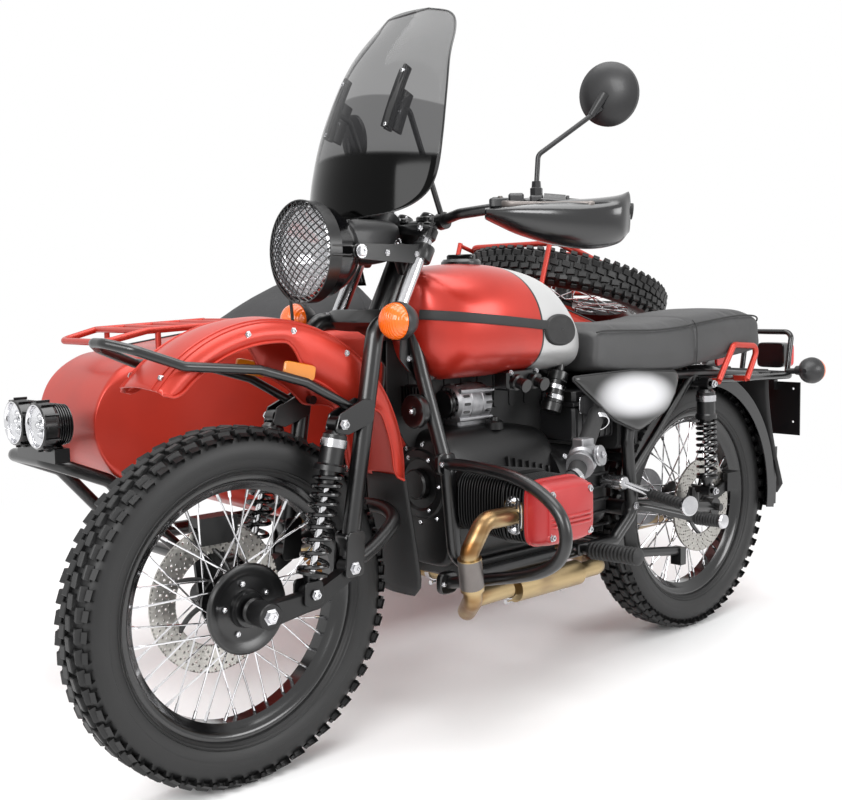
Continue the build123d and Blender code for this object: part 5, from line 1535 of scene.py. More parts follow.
@dataclass
class Fork:
    """Leading link fork: bridges, stanchions, legs, links and the lamp's brackets."""

    head: Triple = (0.0, -318.0, 950.0)
    rake: float = 28.0
    stanchion: tuple = (96.0, 37.0, 15.5)  # place to the side, ahead of the axis, and radius
    leg_x: float = 105.0
    leg_r: float = 18.5
    pivot: tuple = (-536.0, 403.0)
    shock_foot: tuple = (-634.0, 369.0)
    axle: tuple = (-735.0, 346.0)

    def on_head(self, x: float, along: float, ahead: float) -> np.ndarray:
        """Point by its place along the steering axis and ahead of it.

        Args:
            x: place across.
            along: distance up the axis from the head's middle.
            ahead: distance in front of the axis.

        Returns:
            The point.
        """
        a = math.radians(self.rake)
        line, front = np.array([0, math.sin(a), math.cos(a)]), np.array([0, -math.cos(a), math.sin(a)])
        return np.array(self.head) + (x, 0, 0) + line * along + front * ahead

    def bridges(self) -> None:
        """Two bridges, the stem, bar clamps, stanchions with their caps, and pinch bolts."""
        line = self.on_head(0, 1, 0) - self.on_head(0, 0, 0)
        front = self.on_head(0, 0, 1) - self.on_head(0, 0, 0)
        black, steel = Form(), Form()
        side, ahead, r = self.stanchion
        for along, thick in ((-96, 30), (104, 24)):
            black.slab(soft_box(side + r + 6, 24, 3.4, 56), self.on_head(0, along, ahead),
                       ((1, 0, 0), front), thick, 3)
            black.slab(soft_box(40, 38, 2.4, 48), self.on_head(0, along, 8), ((1, 0, 0), front), thick, 3)
            for s in (1, -1):
                steel.bolts([self.on_head(s * (side + 2), along, ahead + 24)], front, 5, 5)
        black.lathe([(-100, 14), (-100, 22), (-70, 30), (70, 30), (86, 22), (118, 20), (124, 26), (134, 24),
                     (136, 8)], self.head, line, 40)
        for s in (1, -1):
            foot, top = self.on_head(s * side, -104, ahead), self.on_head(s * side, 116, ahead)
            steel.lathe([(0, r), (float(np.linalg.norm(top - foot)), r)], foot, line, 32)
            black.lathe([(0, r + 0.5), (6, r + 1), (10, r - 3), (10, 9), (16, 9), (16, 0.5)], top, line, 32)
            black.lathe([(0, 18), (40, 18), (46, 16), (58, 19), (66, 17), (66, 8)],
                        self.on_head(s * 38, 104, 3), line, 28)
            black.slab(soft_box(20, 17, 3.5, 32), (s * 38, -251, 1094), Face.DECK, 12, 2.5)
            steel.bolts([(s * 38 + d, -251, 1100) for d in (-12, 12)], (0, 0, 1), 4.5, 4)
        black.piece("fork_bridges", "steering", Look.black, ("fork",), crease=32)
        steel.piece("fork_stanchions", "steering", Look.steel, crease=32)

    def legs(self) -> None:
        """Legs bent under the lower bridge, with clevis plates for links and dampers."""
        black, steel = Form(), Form()
        for s in (1, -1):
            x = s * self.leg_x
            knee = self.on_head(x, -92, 30)
            black.rod(rounded([np.array((x, -536, 424)), np.array((x, -452, 880)), knee], 60, 10),
                      self.leg_r, 24)
            for shift in (-19, 19):
                plate_x(black, [(-560, 386), (-514, 386), (-508, 474), (-550, 474)], x + shift, 5, 8)
            for shift in (-16, 16):
                plate_x(black, [(-574, 672), (-542, 666), (-478, 686), (-472, 728), (-500, 734),
                                (-562, 708)], x + shift, 5, 9)
            plate_x(black, [(-520, 470), (-508, 400), (-540, 388), (-556, 470)], x, 34, 8, 3)
            black.lathe([(60, 6), (60, 9), (100, 9), (100, 6)], (0, -488, 720), (s, 0, 0), 20)
            steel.bolts([(s * (self.leg_x + 22), *self.pivot)], (s, 0, 0), 10, 8)
            steel.bolts([(s * 92, -478, 762), (s * 92, -466, 826)], (s, 0, 0.1), 6, 5)
        black.piece("fork_legs", "steering", Look.black, crease=35)
        steel.piece("fork_bolts", "steering", Look.steel)

    def links(self) -> None:
        """Forged links: waisted arms with bosses, joined by a loop behind the wheel and by the axle."""
        form, steel = Form(), Form()
        (py, pz), (fy, fz), (ay, az) = self.pivot, self.shock_foot, self.axle
        for s in (1, -1):
            x = s * self.leg_x
            arm = [(py + 16, pz + 12), (py + 14, pz - 18), (fy + 20, fz - 34), (fy - 10, fz - 36),
                   (ay + 14, az - 24), (ay - 20, az - 16),
                   (ay - 20, az + 18), (ay + 20, az + 22), (fy - 24, fz + 4), (fy + 18, fz + 6)]
            plate_x(form, arm, x, 26, 14, 5)
            for centre, radius, half in (((ay, az), 25, 20), ((fy, fz), 17, 13.6), ((py, pz), 20, 15.5)):
                form.lathe([(-half, radius * 0.5), (-half, radius - 2), (-half + 2, radius),
                            (half - 2, radius), (half, radius - 2), (half, radius * 0.5)],
                            (x, *centre), Axis.X, 32)
            for shift in (-18, 18):
                plate_x(form, [(fy - 22, fz + 26), (fy - 24, fz - 22), (fy + 22, fz - 22),
                               (fy + 20, fz + 26)], x + shift, 5, 10)
            steel.bolts([(s * 125, ay, az)], (s, 0, 0), 12, 9)
            form.lathe([(64, 12), (64, 24), (70, 26), (74, 22), (86, 22), (90, 16), (90, 10)],
                       (0, ay, az), (s, 0, 0), 36)
        loop = [(105, py, pz), (104, -470, 432), (92, -408, 470), (52, -384, 486), (0, -378, 490)]
        path = smooth(loop + [(-a, b, c) for a, b, c in loop[-2::-1]], 8)
        form.rod(path, 15, 20)
        form.piece("link_arms", "steering", Look.engine, ("leading_links",), crease=32)
        steel.piece("axle_bolts", "steering", Look.steel)

    def brackets(self) -> None:
        """Lamp brackets, ignition switch with its key, and the fender's amber side reflectors."""
        form, steel, amber = Form(), Form(), Form()
        for s in (1, -1):
            t = np.linspace(np.pi / 2, 3 * np.pi / 2, 12)
            front = np.stack([15 * np.cos(t), 15 * np.sin(t)], -1)
            rear = np.stack([173 - 20 * np.cos(t), -4 - 20 * np.sin(t)], -1)
            form.slab(np.vstack([front, rear]), (s * 103, -490, 1021), Face.SIDE, 6, 1.2)
            form.lathe([(-16, 17), (-16, 23), (-13, 24), (13, 24), (16, 23), (16, 17)],
                       self.on_head(s * 95, 62, 32), (0, math.sin(math.radians(self.rake)),
                                                      math.cos(math.radians(self.rake))), 32)
            steel.bolts([(s * 107, -342, 1017), (s * 107, -420, 1019)], (s, 0, 0), 5, 4)
            amber.slab(soft_box(37, 15, 7, 36), (s * 82, -625, 794),
                       ((0, -0.977, 0.211), (0, 0.211, 0.977)), 7, 2)
        form.lathe([(-20, 14), (16, 16), (20, 20), (34, 20), (38, 16), (38, 0.5)], (60, -340, 1000),
                   (0.3, -0.5, 0.8), 32)
        steel.slab(soft_box(9, 3, 4, 20), (72, -360, 1034), ((0.3, -0.5, 0.8), (0.8, 0.5, 0)), 2.4, 0.4)
        turn = np.linspace(0, 6.1, 20)
        loop = np.array([78, -366, 1040]) + xyz(9 * np.cos(turn), 0 * turn, 9 * np.sin(turn))
        steel.rod(loop, 1.2, 8)
        form.piece("lamp_brackets", "steering", Look.black, crease=32)
        steel.piece("ignition_key", "steering", Look.steel)
        amber.piece("fender_reflectors", "steering", Look.reflector, crease=28)

    def build(self) -> None:
        """Makes bridges, legs, links and brackets."""
        self.bridges()
        self.legs()
        self.links()
        self.brackets()


# ---- motorcycle ---------------------------------------------------------------------------------
@dataclass
class Tank:
    """Teardrop fuel tank with rubber straps, knee pads and its cap."""

    stations: tuple = ((-313, 0.11, 905, 46), (-304, 0.36, 905, 70), (-282, 0.62, 888, 100),
                       (-230, 0.87, 872, 122),
                       (-140, 1.0, 874, 128), (-40, 1.0, 872, 124), (60, 0.96, 862, 111),
                       (130, 0.84, 836, 86),
                       (176, 0.66, 812, 62), (190, 0.40, 806, 40), (193, 0.10, 804, 14))
    half: float = 150.0

    def skin(self) -> np.ndarray:
        """Superellipse |x/a|^2.55 + |z/b|^2.3 = 1 at each station, a little flatter below.

        Returns:
            Grid of points, one row for each section.
        """
        rows = smooth(self.stations, 6)
        t = np.linspace(0, 2 * np.pi, 64, endpoint=False)
        c, s = np.cos(t), np.sin(t)
        lift = np.where(s < 0, 0.98, 1.0)
        p = 2.55
        x = rows[:, 1:2] * self.half * (np.sign(c) * np.abs(c) ** (2 / p))[None]
        z = rows[:, 2:3] + rows[:, 3:4] * (np.sign(s) * np.abs(s) ** (2 / 2.3) * lift)[None]
        return xyz(x, rows[:, :1], z)

    def build(self) -> None:
        """Skin, straps, pads and cap."""
        Form().solid(self.skin()).piece("tank_skin", "base", Look.tank, ("fuel_tank",), crease=60)
        rubber = Form()
        for s in (1, -1):
            y = np.linspace(-300, 60, 40)
            z = 893 - 0.10 * (y + 300)
            x = self.side_x(y, z) + 2.5
            rubber.solid(swept(xyz(s * x, y, z), soft_box(3.0, 10.5, 4, 16)))
            t = np.linspace(0, 2 * np.pi, 40, endpoint=False)
            rows = []
            for k, h in ((0.98, -6), (1.0, 2), (0.94, 6.5), (0.86, 7), (0.80, 5.5), (0.3, 5.5), (0.02, 5.5)):
                py = 62 + 62 * k * np.sign(np.cos(t)) * np.abs(np.cos(t)) ** 0.85
                pz = 850 + 36 * k * np.sin(t) - 0.06 * (py - 62)
                rows.append(xyz(s * (self.side_x(py, pz) + h), py, pz))
            rubber.grid(np.stack(rows))
        rubber.piece("tank_straps_and_pads", "base", Look.rubber, ("tank_straps_and_cap",), crease=28)
        cap = Form().lathe([(-6, 43), (2, 45), (8, 45), (14, 40), (15, 20), (15, 0.5)],
                           (0, -112, 998), Axis.Z, 48)
        cap.slab(soft_box(34, 9, 4, 28), (0, -112, 1016), ((0.94, 0.34, 0), (-0.34, 0.94, 0)), 14, 3)
        cap.piece("tank_cap", "base", Look.black, crease=28)

    def side_x(self, y: np.ndarray, z: np.ndarray) -> np.ndarray:
        """Half width of the skin at a height: a·(1 - |z/b|^2.3)^(1/2.55).

        Args:
            y: places along the tank.
            z: heights.

        Returns:
            Half widths.
        """
        rows = smooth(self.stations, 6)
        width, middle, tall = (np.interp(y, rows[:, 0], rows[:, k]) for k in (1, 2, 3))
        level = np.clip(np.abs((z - middle) / tall), 0, 0.999)
        return width * self.half * (1 - level ** 2.3) ** (1 / 2.55)


@dataclass
class Seat:
    """Bench seat: one crowned cushion with a seam across it and piping round its top."""

    stations: tuple = ((203, 112, 756, 826), (209, 126, 746, 841), (240, 134, 740, 848),
                       (320, 140, 732, 847),
                       (420, 144, 728, 845), (520, 148, 730, 849), (620, 150, 738, 859),
                       (720, 150, 746, 868),
                       (800, 149, 753, 872), (868, 147, 760, 869), (900, 141, 766, 860),
                       (912, 126, 776, 844), (916, 98, 790, 822))

    def build(self) -> None:
        """Soft boxes whose top is crowned by 7 mm; the seam is pressed in after the cloth has swelled."""
        rows = smooth(self.stations, 6)
        points = sections(self.stations, 6.0, 64)
        across, up = soft_box(1, 1, 6.0, 64).T
        points[..., 2] += np.where(up > 0.6, 7 * (1 - across ** 2), 0)
        seat = Form().solid(points).piece("bench_cushion", "base", Look.vinyl, ("seat",), crease=60)
        puffed(seat, 6.0, 780.0)
        self.seam(seat)
        piping = Form()
        edge = rows[:, 1] * 0.935 + 1
        high = (rows[:, 3] + rows[:, 2]) / 2 + (rows[:, 3] - rows[:, 2]) / 2 * 0.845 + 2
        for s in (1, -1):
            piping.rod(xyz(s * edge, rows[:, 0], high)[8:-4], 2.3, 8)
            sewn = [(s * 136, 586, 858), (s * 147, 586, 846), (s * 150.5, 586, 825), (s * 151, 586, 775),
                    (s * 148, 586, 742)]
            piping.rod(smooth(sewn, 6), 1.5, 6)
        piping.piece("bench_piping", "base", Look.rubber)

    def seam(self, seat: bpy.types.Object) -> None:
        """Presses the sewn seam in: a groove 3.4 mm deep whose section is e to the -((y - 586) / 7)².

        Args:
            seat: the cushion, after its cloth has swelled.
        """
        points = np.empty(len(seat.data.vertices) * 3, np.float32)
        seat.data.vertices.foreach_get("co", points)
        points = points.reshape(-1, 3).astype(float) * 1000 - ORIGIN
        groove = 3.4 * np.exp(-((points[:, 1] - 586) / 7.0) ** 2)
        points[:, 0] -= np.sign(points[:, 0]) * groove * np.clip((np.abs(points[:, 0]) - 90) / 30, 0, 1)
        points[:, 2] -= groove * np.clip((points[:, 2] - 830) / 20, 0, 1)
        seat.data.vertices.foreach_set("co", ((points + ORIGIN) / 1000).astype(np.float32).ravel())


@dataclass
class Engine:
    """Flat twin: finned barrels, heads, domed covers and the tinted pipes."""

    places: tuple = ((1, -188.0), (-1, -150.0))
    level: float = 497.0
    fins: int = 17
    fin_from: float = 128.0
    fin_to: float = 262.0
    face: float = 330.0

    def barrels(self) -> None:
        """Each fin is a soft box 2.4 mm thick that swells towards the head; the head has its own ribs."""
        form = Form()
        for s, y in self.places:
            x = np.linspace(self.fin_from, self.fin_to, self.fins)
            for k, at in enumerate(x):
                grow = 67 + 9 * k / self.fins
                outline = soft_box(grow, grow, 3.6, 44)
                form.slab(outline, (s * at, y, self.level), Face.SIDE, 2.6, 0.8)
            form.lathe([(110, 54), (262, 54)], (0, y, self.level), (s, 0, 0), 40)
            for k in range(7):
                outline = soft_box(79, 67, 5, 44)
                form.slab(outline, (s * (270 + 9 * k), y, self.level), Face.SIDE, 3.2, 1.0)
            form.slab(soft_box(70, 58, 6, 44), (s * 297, y, self.level), Face.SIDE, 66, 2)
            form.lathe([(92, 66), (118, 66), (120, 60)], (0, y, self.level), (s, 0, 0), 40)
        form.piece("finned_barrels", "base", Look.engine, ("cylinders",), crease=28)

    def covers(self) -> None:
        """Soft box whose outline draws in by a quarter circle, crowned; three ribs cross its face."""
        form, bolts = Form(), Form()
        half_y, half_z, inset, high = 82.0, 66.0, 18.0, 40.0
        for s, y in self.places:
            layers = [(0, 0, 1), (3, 2, 1), (8, 2, 1), (10, -1, 1)]
            layers += [(14 + high * math.sin(q), -1 - inset * (1 - math.cos(q)), 1)
                       for q in np.linspace(0, np.pi / 2, 11)]
            layers += [(14 + high + 5.5 * (1 - k ** 2), -1 - inset, k)
                       for k in (0.9, 0.75, 0.6, 0.4, 0.2, 0.05)]
            rows = []
            for out, grow, share in layers:
                line = soft_box((half_y + grow) * share, (half_z + grow) * share,
                                5.2 - 2.4 * (1 - share), 88)
                rows.append(xyz(s * (self.face + out), y + line[:, 0], self.level + line[:, 1]))
            form.solid(np.stack(rows))
            top = self.face + 14 + high
            for z in (-22, -13, -4):
                form.tube([(s * (top - 4), y - 64, self.level + z),
                           (s * (top + 3.5), y - 50, self.level + z),
                           (s * (top + 5.5), y, self.level + z), (s * (top + 3.5), y + 50, self.level + z),
                           (s * (top - 4), y + 64, self.level + z)], 3.4, 20, 8)
            for cy in (-57, 57):
                for cz in (-42, 42):
                    form.lathe([(top - 20, 13), (top - 4, 12), (top - 1, 10), (top - 1, 0.5)],
                               (0, y + cy, self.level + cz), (s, 0, 0), 24)
                    bolts.bolts([(s * (top - 1), y + cy, self.level + cz)], (s, 0, 0), 6.5, 5.5, 6)
        form.piece("rocker_covers", "base", Look.red_gloss, ("valve_covers",), crease=30)
        bolts.piece("rocker_cover_bolts", "base", Look.steel)

    def pipes(self) -> None:
        """Header flanges, sleeves and clamps on the tinted pipes."""
        flange, sleeve, clamp = Form(), Form(), Form()
        for s, y in self.places:
            x = s * 296
            flange.slab(soft_box(24, 40, 2.6, 36), (x, y - 73, self.level - 6), Face.FRONT, 8, 1.5)
            flange.bolts([(x, y - 78, self.level - 6 + d) for d in (-30, 30)], (0, -1, 0), 5, 7)
            sleeve.lathe([(0, 20), (0, 24), (58, 24.5), (66, 22), (66, 20)], (x - s * 17, -372, 418),
                         (-s * 0.10, 0.20, -0.97), 32)
        for place, axis in (((144, -120, 286), (1, 0, 0)), ((60, -120, 286), (1, 0, 0)),
                            ((144, 60, 282), (0, 1, 0)), ((-100, -120, 286), (1, 0, 0))):
            clamp.lathe(hoop(-7, 7, 20.5, 22.5), place, axis, 32)
            clamp.bolts([(place[0], place[1] - 8, place[2] - 28)], (0, 1, 0), 4.5, 14)
        flange.piece("header_flanges", "base", Look.steel, crease=28)
        sleeve.piece("header_sleeves", "base", Look.sleeve)
        clamp.piece("pipe_clamps", "base", Look.steel, crease=28)

    def bars(self) -> None:
        """Crash bars: one smooth loop round each cylinder with a clamp at both ends."""
        loop = ((112, 578), (200, 580), (300, 571), (372, 549), (424, 512), (440, 466), (424, 424),
                (382, 394), (318, 372), (250, 355), (180, 338), (112, 322))
        bars, bolts = Form(), Form()
        for s in (1, -1):
            path = smooth([(s * x, -272, z) for x, z in loop], 8)
            bars.rod(path, 13, 18)
            for x, z in (loop[0], loop[-1]):
                bars.slab(soft_box(26, 24, 3.4, 32), (s * (x - 4), -272, z), Face.SIDE, 16, 3)
                bolts.bolts([(s * (x + 6), -272 + d, z + 1) for d in (-19, 19)], (s, 0, 0), 5, 5)
        bars.piece("crash_loops", "base", Look.black, ("crash_bars",), crease=40)
        bolts.piece("crash_loop_bolts", "base", Look.steel)

    def build(self) -> None:
        """Makes barrels, covers, pipe fittings and crash bars."""
        self.barrels()
        self.covers()
        self.pipes()
        self.bars()


@dataclass
class Flaps:
    """Rubber mud flaps, curved plates with rounded lower corners."""

    def build(self) -> None:
        """Front flap hangs from the fender's rear end and widens downwards; the rear one curves back."""
        t = np.linspace(0, 1, 14)[:, None]
        x = np.linspace(-1, 1, 15)[None]
        widened = 14 * np.sin(np.clip(t * 1.2, 0, 1) * np.pi / 2)
        half = 62 + widened - 26 * np.clip((t - 0.86) / 0.14, 0, 1) ** 2
        y = -351 + 32 * t ** 1.2 + 7 * x ** 2
        z = 556 - 266 * t + 0 * x
        Form().grid(xyz(half * x, y + 0 * z, z), closed=False).piece("front_flap", "steering",
                                                                     Look.rubber, ("front_mud_flap",),
                                                                 wall=4.0, offset=0.0)
        half = 87 - 4 * t - 26 * np.clip((t - 0.9) / 0.1, 0, 1) ** 2
        y = 1032 + 112 * t ** 1.8 + 5 * x ** 2
        z = 704 - 378 * t + 0 * x
        Form().grid(xyz(half * x, y + 0 * z, z), closed=False).piece("rear_flap", "base",
                                                                     Look.rubber, wall=4.0, offset=0.0)
        red = Form()
        for s in (1, -1):
            red.slab(soft_box(24, 13, 8, 32), (s * 88, 792, 744), ((0, 0.98, 0.2), (0, -0.2, 0.98)), 10, 2)
        red.piece("side_reflectors", "base", Look.red_lens, crease=28)


def eased(form: Form, low: Triple, high: Triple, bevel: float = 4.0, power: float = 9.0) -> Form:
    """Adds a box with rounded edges between two corners: a superellipse drawn along Y.

    Args:
        form: what it is added to.
        low: lowest corner.
        high: highest corner.
        bevel: how far both ends draw in.
        power: exponent of the superellipse.

    Returns:
        The form.
    """
    a, b = np.array(low, float), np.array(high, float)
    half = (b - a) / 2
    return form.slab(soft_box(half[0], half[2], power, 40), (a + b) / 2, Face.FRONT, 2 * half[1], bevel)


@dataclass
class Casings:
    """Crankcase, gearbox and what is bolted on them."""

    fastener: float = 5.5

    def castings(self) -> None:
        """Case, sump, gearbox and bell housing with ribs, flanges and their screws."""
        form, bolts = Form(), Form()
        form.solid(sections(((-241, 66, 352, 600), (-236, 84, 340, 622), (-200, 92, 336, 638),
                             (-60, 92, 334, 640), (70, 91, 336, 624), (112, 84, 340, 606),
                             (120, 70, 350, 590)), 5.0, 56, 5, 0.30))
        form.solid(sections(((100, 84, 352, 586), (140, 82, 350, 572), (230, 78, 350, 560),
                             (300, 74, 356, 545), (326, 60, 372, 520), (330, 40, 390, 500)),
                             5.0, 56, 5, 0.16))
        eased(form, (-82, -204, 308), (82, 112, 346), 6)
        for y in np.linspace(-190, 96, 12):
            form.slab(soft_box(78, 5, 6, 24), (0, y, 312), Face.FRONT, 4, 0.6)
        form.lathe([(-158, 60), (-158, 92), (-150, 104), (-112, 116), (-100, 119), (-94, 119), (-94, 60)],
                   (0, 0, 470), (0, -1, 0), 72)
        front = [(225, 80), (225, 97), (236, 99), (240, 96), (244, 78), (250, 74), (252, 60),
                 (247, 54), (247, 0.5)]
        form.lathe(front, (0, 0, 520), (0, -1, 0), 72)
        form.lathe([(250, 34), (262, 34), (266, 30), (266, 0.5)], (0, 0, 520), (0, -1, 0), 40)
        for s in (1, -1):
            y = -188.0 if s > 0 else -150.0
            form.lathe([(86, 74), (92, 74), (96, 70), (112, 68), (112, 40)], (0, y, 497), (s, 0, 0), 56)
            for k, rib in enumerate(np.linspace(-60, 76, 7)):
                form.slab(soft_box(5, 92 - 4 * k, 5, 24), (s * 89, rib, 478 - 2 * k), Face.FRONT, 5, 1)
            for rib in np.linspace(360, 520, 6):
                form.slab(soft_box(4.5, 90, 5, 24), (s * 78, 222, rib), Face.DECK, 5, 1)
            form.slab(soft_box(52, 44, 3.2, 40), (s * 84, 30, 420), Face.SIDE, 14, 3)
            bolts.bolts([(s * 92, 30 + 42 * math.cos(t), 420 + 34 * math.sin(t))
                         for t in np.radians(range(20, 380, 60))], (s, 0, 0), 4.5, 4)
            bolts.bolts([(s * 76, 150 + 50 * k, 545 - 4 * k) for k in range(4)], (s, 0, 0.4), 5, 5)
        bolts.bolts([(87 * math.cos(t), -240, 520 + 87 * math.sin(t))
                     for t in np.radians(np.arange(15, 375, 36))], (0, -1, 0), self.fastener, 5)
        bolts.bolts([(64 * math.cos(t), -251, 520 + 64 * math.sin(t))
                     for t in np.radians(np.arange(0, 360, 60))], (0, -1, 0), 4, 4)
        for x, y, z, r in ((48, -60, 628, 20), (-48, -60, 628, 20)):
            form.lathe([(0, r), (16, r), (20, r * 0.8), (20, r * 0.5), (28, r * 0.45), (28, 0.5)],
                       (x, y, z), Axis.Z, 24)
        form.piece("engine_castings", "base", Look.engine, ("crankcase",), crease=32)
        bolts.piece("engine_screws", "base", Look.steel, crease=28)

    def alternator(self) -> None:
        """Slotted alloy body, its through bolts and the pulley in front; black patches stand in for the vent
        slots, whose insides are painted shade.
        """
        body, dark, bolts = Form(), Form(), Form()
        c = (0, -105, 690)
        body.lathe([(-55, 22), (-55, 36), (-48, 43), (-20, 44), (-18, 42), (-16, 44), (14, 44), (16, 42),
                    (18, 44), (44, 43), (52, 36), (55, 24), (58, 22), (58, 0.5)], c, Axis.Y, 56)
        eased(body, (-26, -150, 636), (26, -60, 664), 5)
        for end, sign in ((-34, -1), (34, 1)):
            for t in np.radians(np.arange(0, 360, 24)):
                out = np.array([math.cos(t), 0, math.sin(t)])
                place = np.array(c) + out * 43.2 + (0, end, 0)
                # Black patches for the vent slots: painted shade where the openings are.
                dark.slab(soft_box(3.4, 9.5, 4, 16), place, ((-math.sin(t), 0, math.cos(t)),
                                                             (0, 1, 0)), 2.6, 0.4)
                cap = np.array(c) + out * 30 + (0, sign * 54.4, 0)
                dark.slab(soft_box(2.6, 6.0, 4, 16), cap, ((-math.sin(t), 0, math.cos(t)), out), 3.0, 0.4)
        for t in np.radians((40, 130, 220, 310)):
            body.lathe([(-50, 6), (52, 6)], (c[0] + 45 * math.cos(t), c[1], c[2] + 45 * math.sin(t)),
                       Axis.Y, 12)
            bolts.bolts([(c[0] + 45 * math.cos(t), c[1] + 53, c[2] + 45 * math.sin(t))], (0, 1, 0), 4, 4)
        dark.lathe([(-72, 12), (-72, 30), (-69, 31), (-64, 24), (-59, 31), (-56, 30), (-56, 12)],
                   c, Axis.Y, 40)
        body.piece("alternator_body", "base", Look.alloy, ("throttle_bodies_and_alternator",), crease=30)
        dark.piece("alternator_slots", "base", Look.black, crease=30)
        bolts.piece("alternator_bolts", "base", Look.steel)

    def inlets(self) -> None:
        """Rubber inlet stubs, clamps, and throttle bodies with their cable wheels and nuts."""
        stub, body, steel = Form(), Form(), Form()
        for s, y in ((1, -188.0), (-1, -150.0)):
            x = s * 290
            stub.tube([(x, y + 62, 522), (x - s * 8, y + 130, 540), (s * 214, y + 240, 578),
                       (s * 126, 210, 646)], 20, 40, 24)
            for place, axis in (((x - s * 6, y + 128, 539), (0, 1, 0.25)),
                                ((s * 148, 192, 630), (-s, 0.5, 0.8))):
                steel.lathe(hoop(-6, 6, 20.5, 23), place, axis, 32)
            axis, centre = (-s * 0.5, 0.83, 0.25), (s * 236, y + 214, 570)
            body.lathe([(-50, 22), (-50, 30), (-44, 31), (-42, 27), (-20, 27), (-16, 33), (22, 33), (26, 25),
                        (38, 24), (38, 12)], centre, axis, 40)
            body.lathe([(-8, 7), (40, 7)], centre, (s, 0.3, 0.2), 16)
            body.lathe([(34, 8), (34, 22), (37, 23), (40, 20), (43, 23), (46, 22), (46, 8)],
                       centre, (s, 0.3, 0.2), 32)
            eased(body, (centre[0] - 16, centre[1] - 20, 592), (centre[0] + 16, centre[1] + 20, 614), 3)
            steel.bolts([(centre[0] + s * 46, centre[1] + 14, 580)], (s, 0.3, 0.2), 6, 5)
        stub.piece("inlet_stubs", "base", Look.rubber)
        body.piece("throttle_castings", "base", Look.alloy, crease=30)
        steel.piece("inlet_clamps", "base", Look.steel, crease=28)

    def air(self) -> None:
        """Filter box: lower tub, lid with a lip, ribs and clips."""
        form, clips = Form(), Form()
        eased(form, (-86, 172, 576), (86, 328, 664), 6)
        eased(form, (-90, 168, 662), (90, 332, 672), 2)
        eased(form, (-84, 176, 670), (84, 324, 700), 8)
        eased(form, (-129, 202, 642), (129, 298, 688), 6)
        for y in np.linspace(186, 314, 7):
            for s in (1, -1):
                form.slab(soft_box(3.2, 36, 5, 20), (s * 86, y, 618), Face.FRONT, 4, 0.8)
        for s in (1, -1):
            for y in (196, 304):
                clips.slab(soft_box(9, 20, 5, 24), (s * 91, y, 664), Face.SIDE, 3, 0.8)
            clips.bolts([(s * 129, 250, 664)], (s, 0, 0), 5, 5)
        form.piece("filter_box", "base", Look.plastic, ("airbox",), crease=30)
        clips.piece("filter_box_clips", "base", Look.steel)

    def front(self) -> None:
        """Round horn under the tank, and the regulator with its fins on the down tubes."""
        form, bolts = Form(), Form()
        for s in (1, -1):
            c = (s * 62, -306, 690)
            form.lathe([(-22, 10), (-22, 18), (-10, 30), (0, 36), (12, 37), (16, 34), (12, 24), (14, 10),
                        (18, 8)], c, (0, -1, 0), 48)
            form.tube([(s * 62, -292, 690), (s * 62, -262, 700), (s * 40, -262, 706)], 6, 12)
            bolts.bolts([(s * 62, -324, 690)], (0, -1, 0), 5, 4)
        eased(form, (-46, -268, 668), (46, -244, 740), 3)
        for x in np.linspace(-40, 40, 9):
            form.slab(soft_box(1.8, 34, 4, 16), (x, -274, 704), Face.FRONT, 14, 0.6)
        form.piece("horns_and_regulator", "base", Look.black, crease=30)
        bolts.piece("horn_nuts", "base", Look.steel)

    def build(self) -> None:
        """Makes castings, alternator, inlets, filter box and horns."""
        self.castings()
        self.alternator()
        self.inlets()
        self.air()
        self.front()


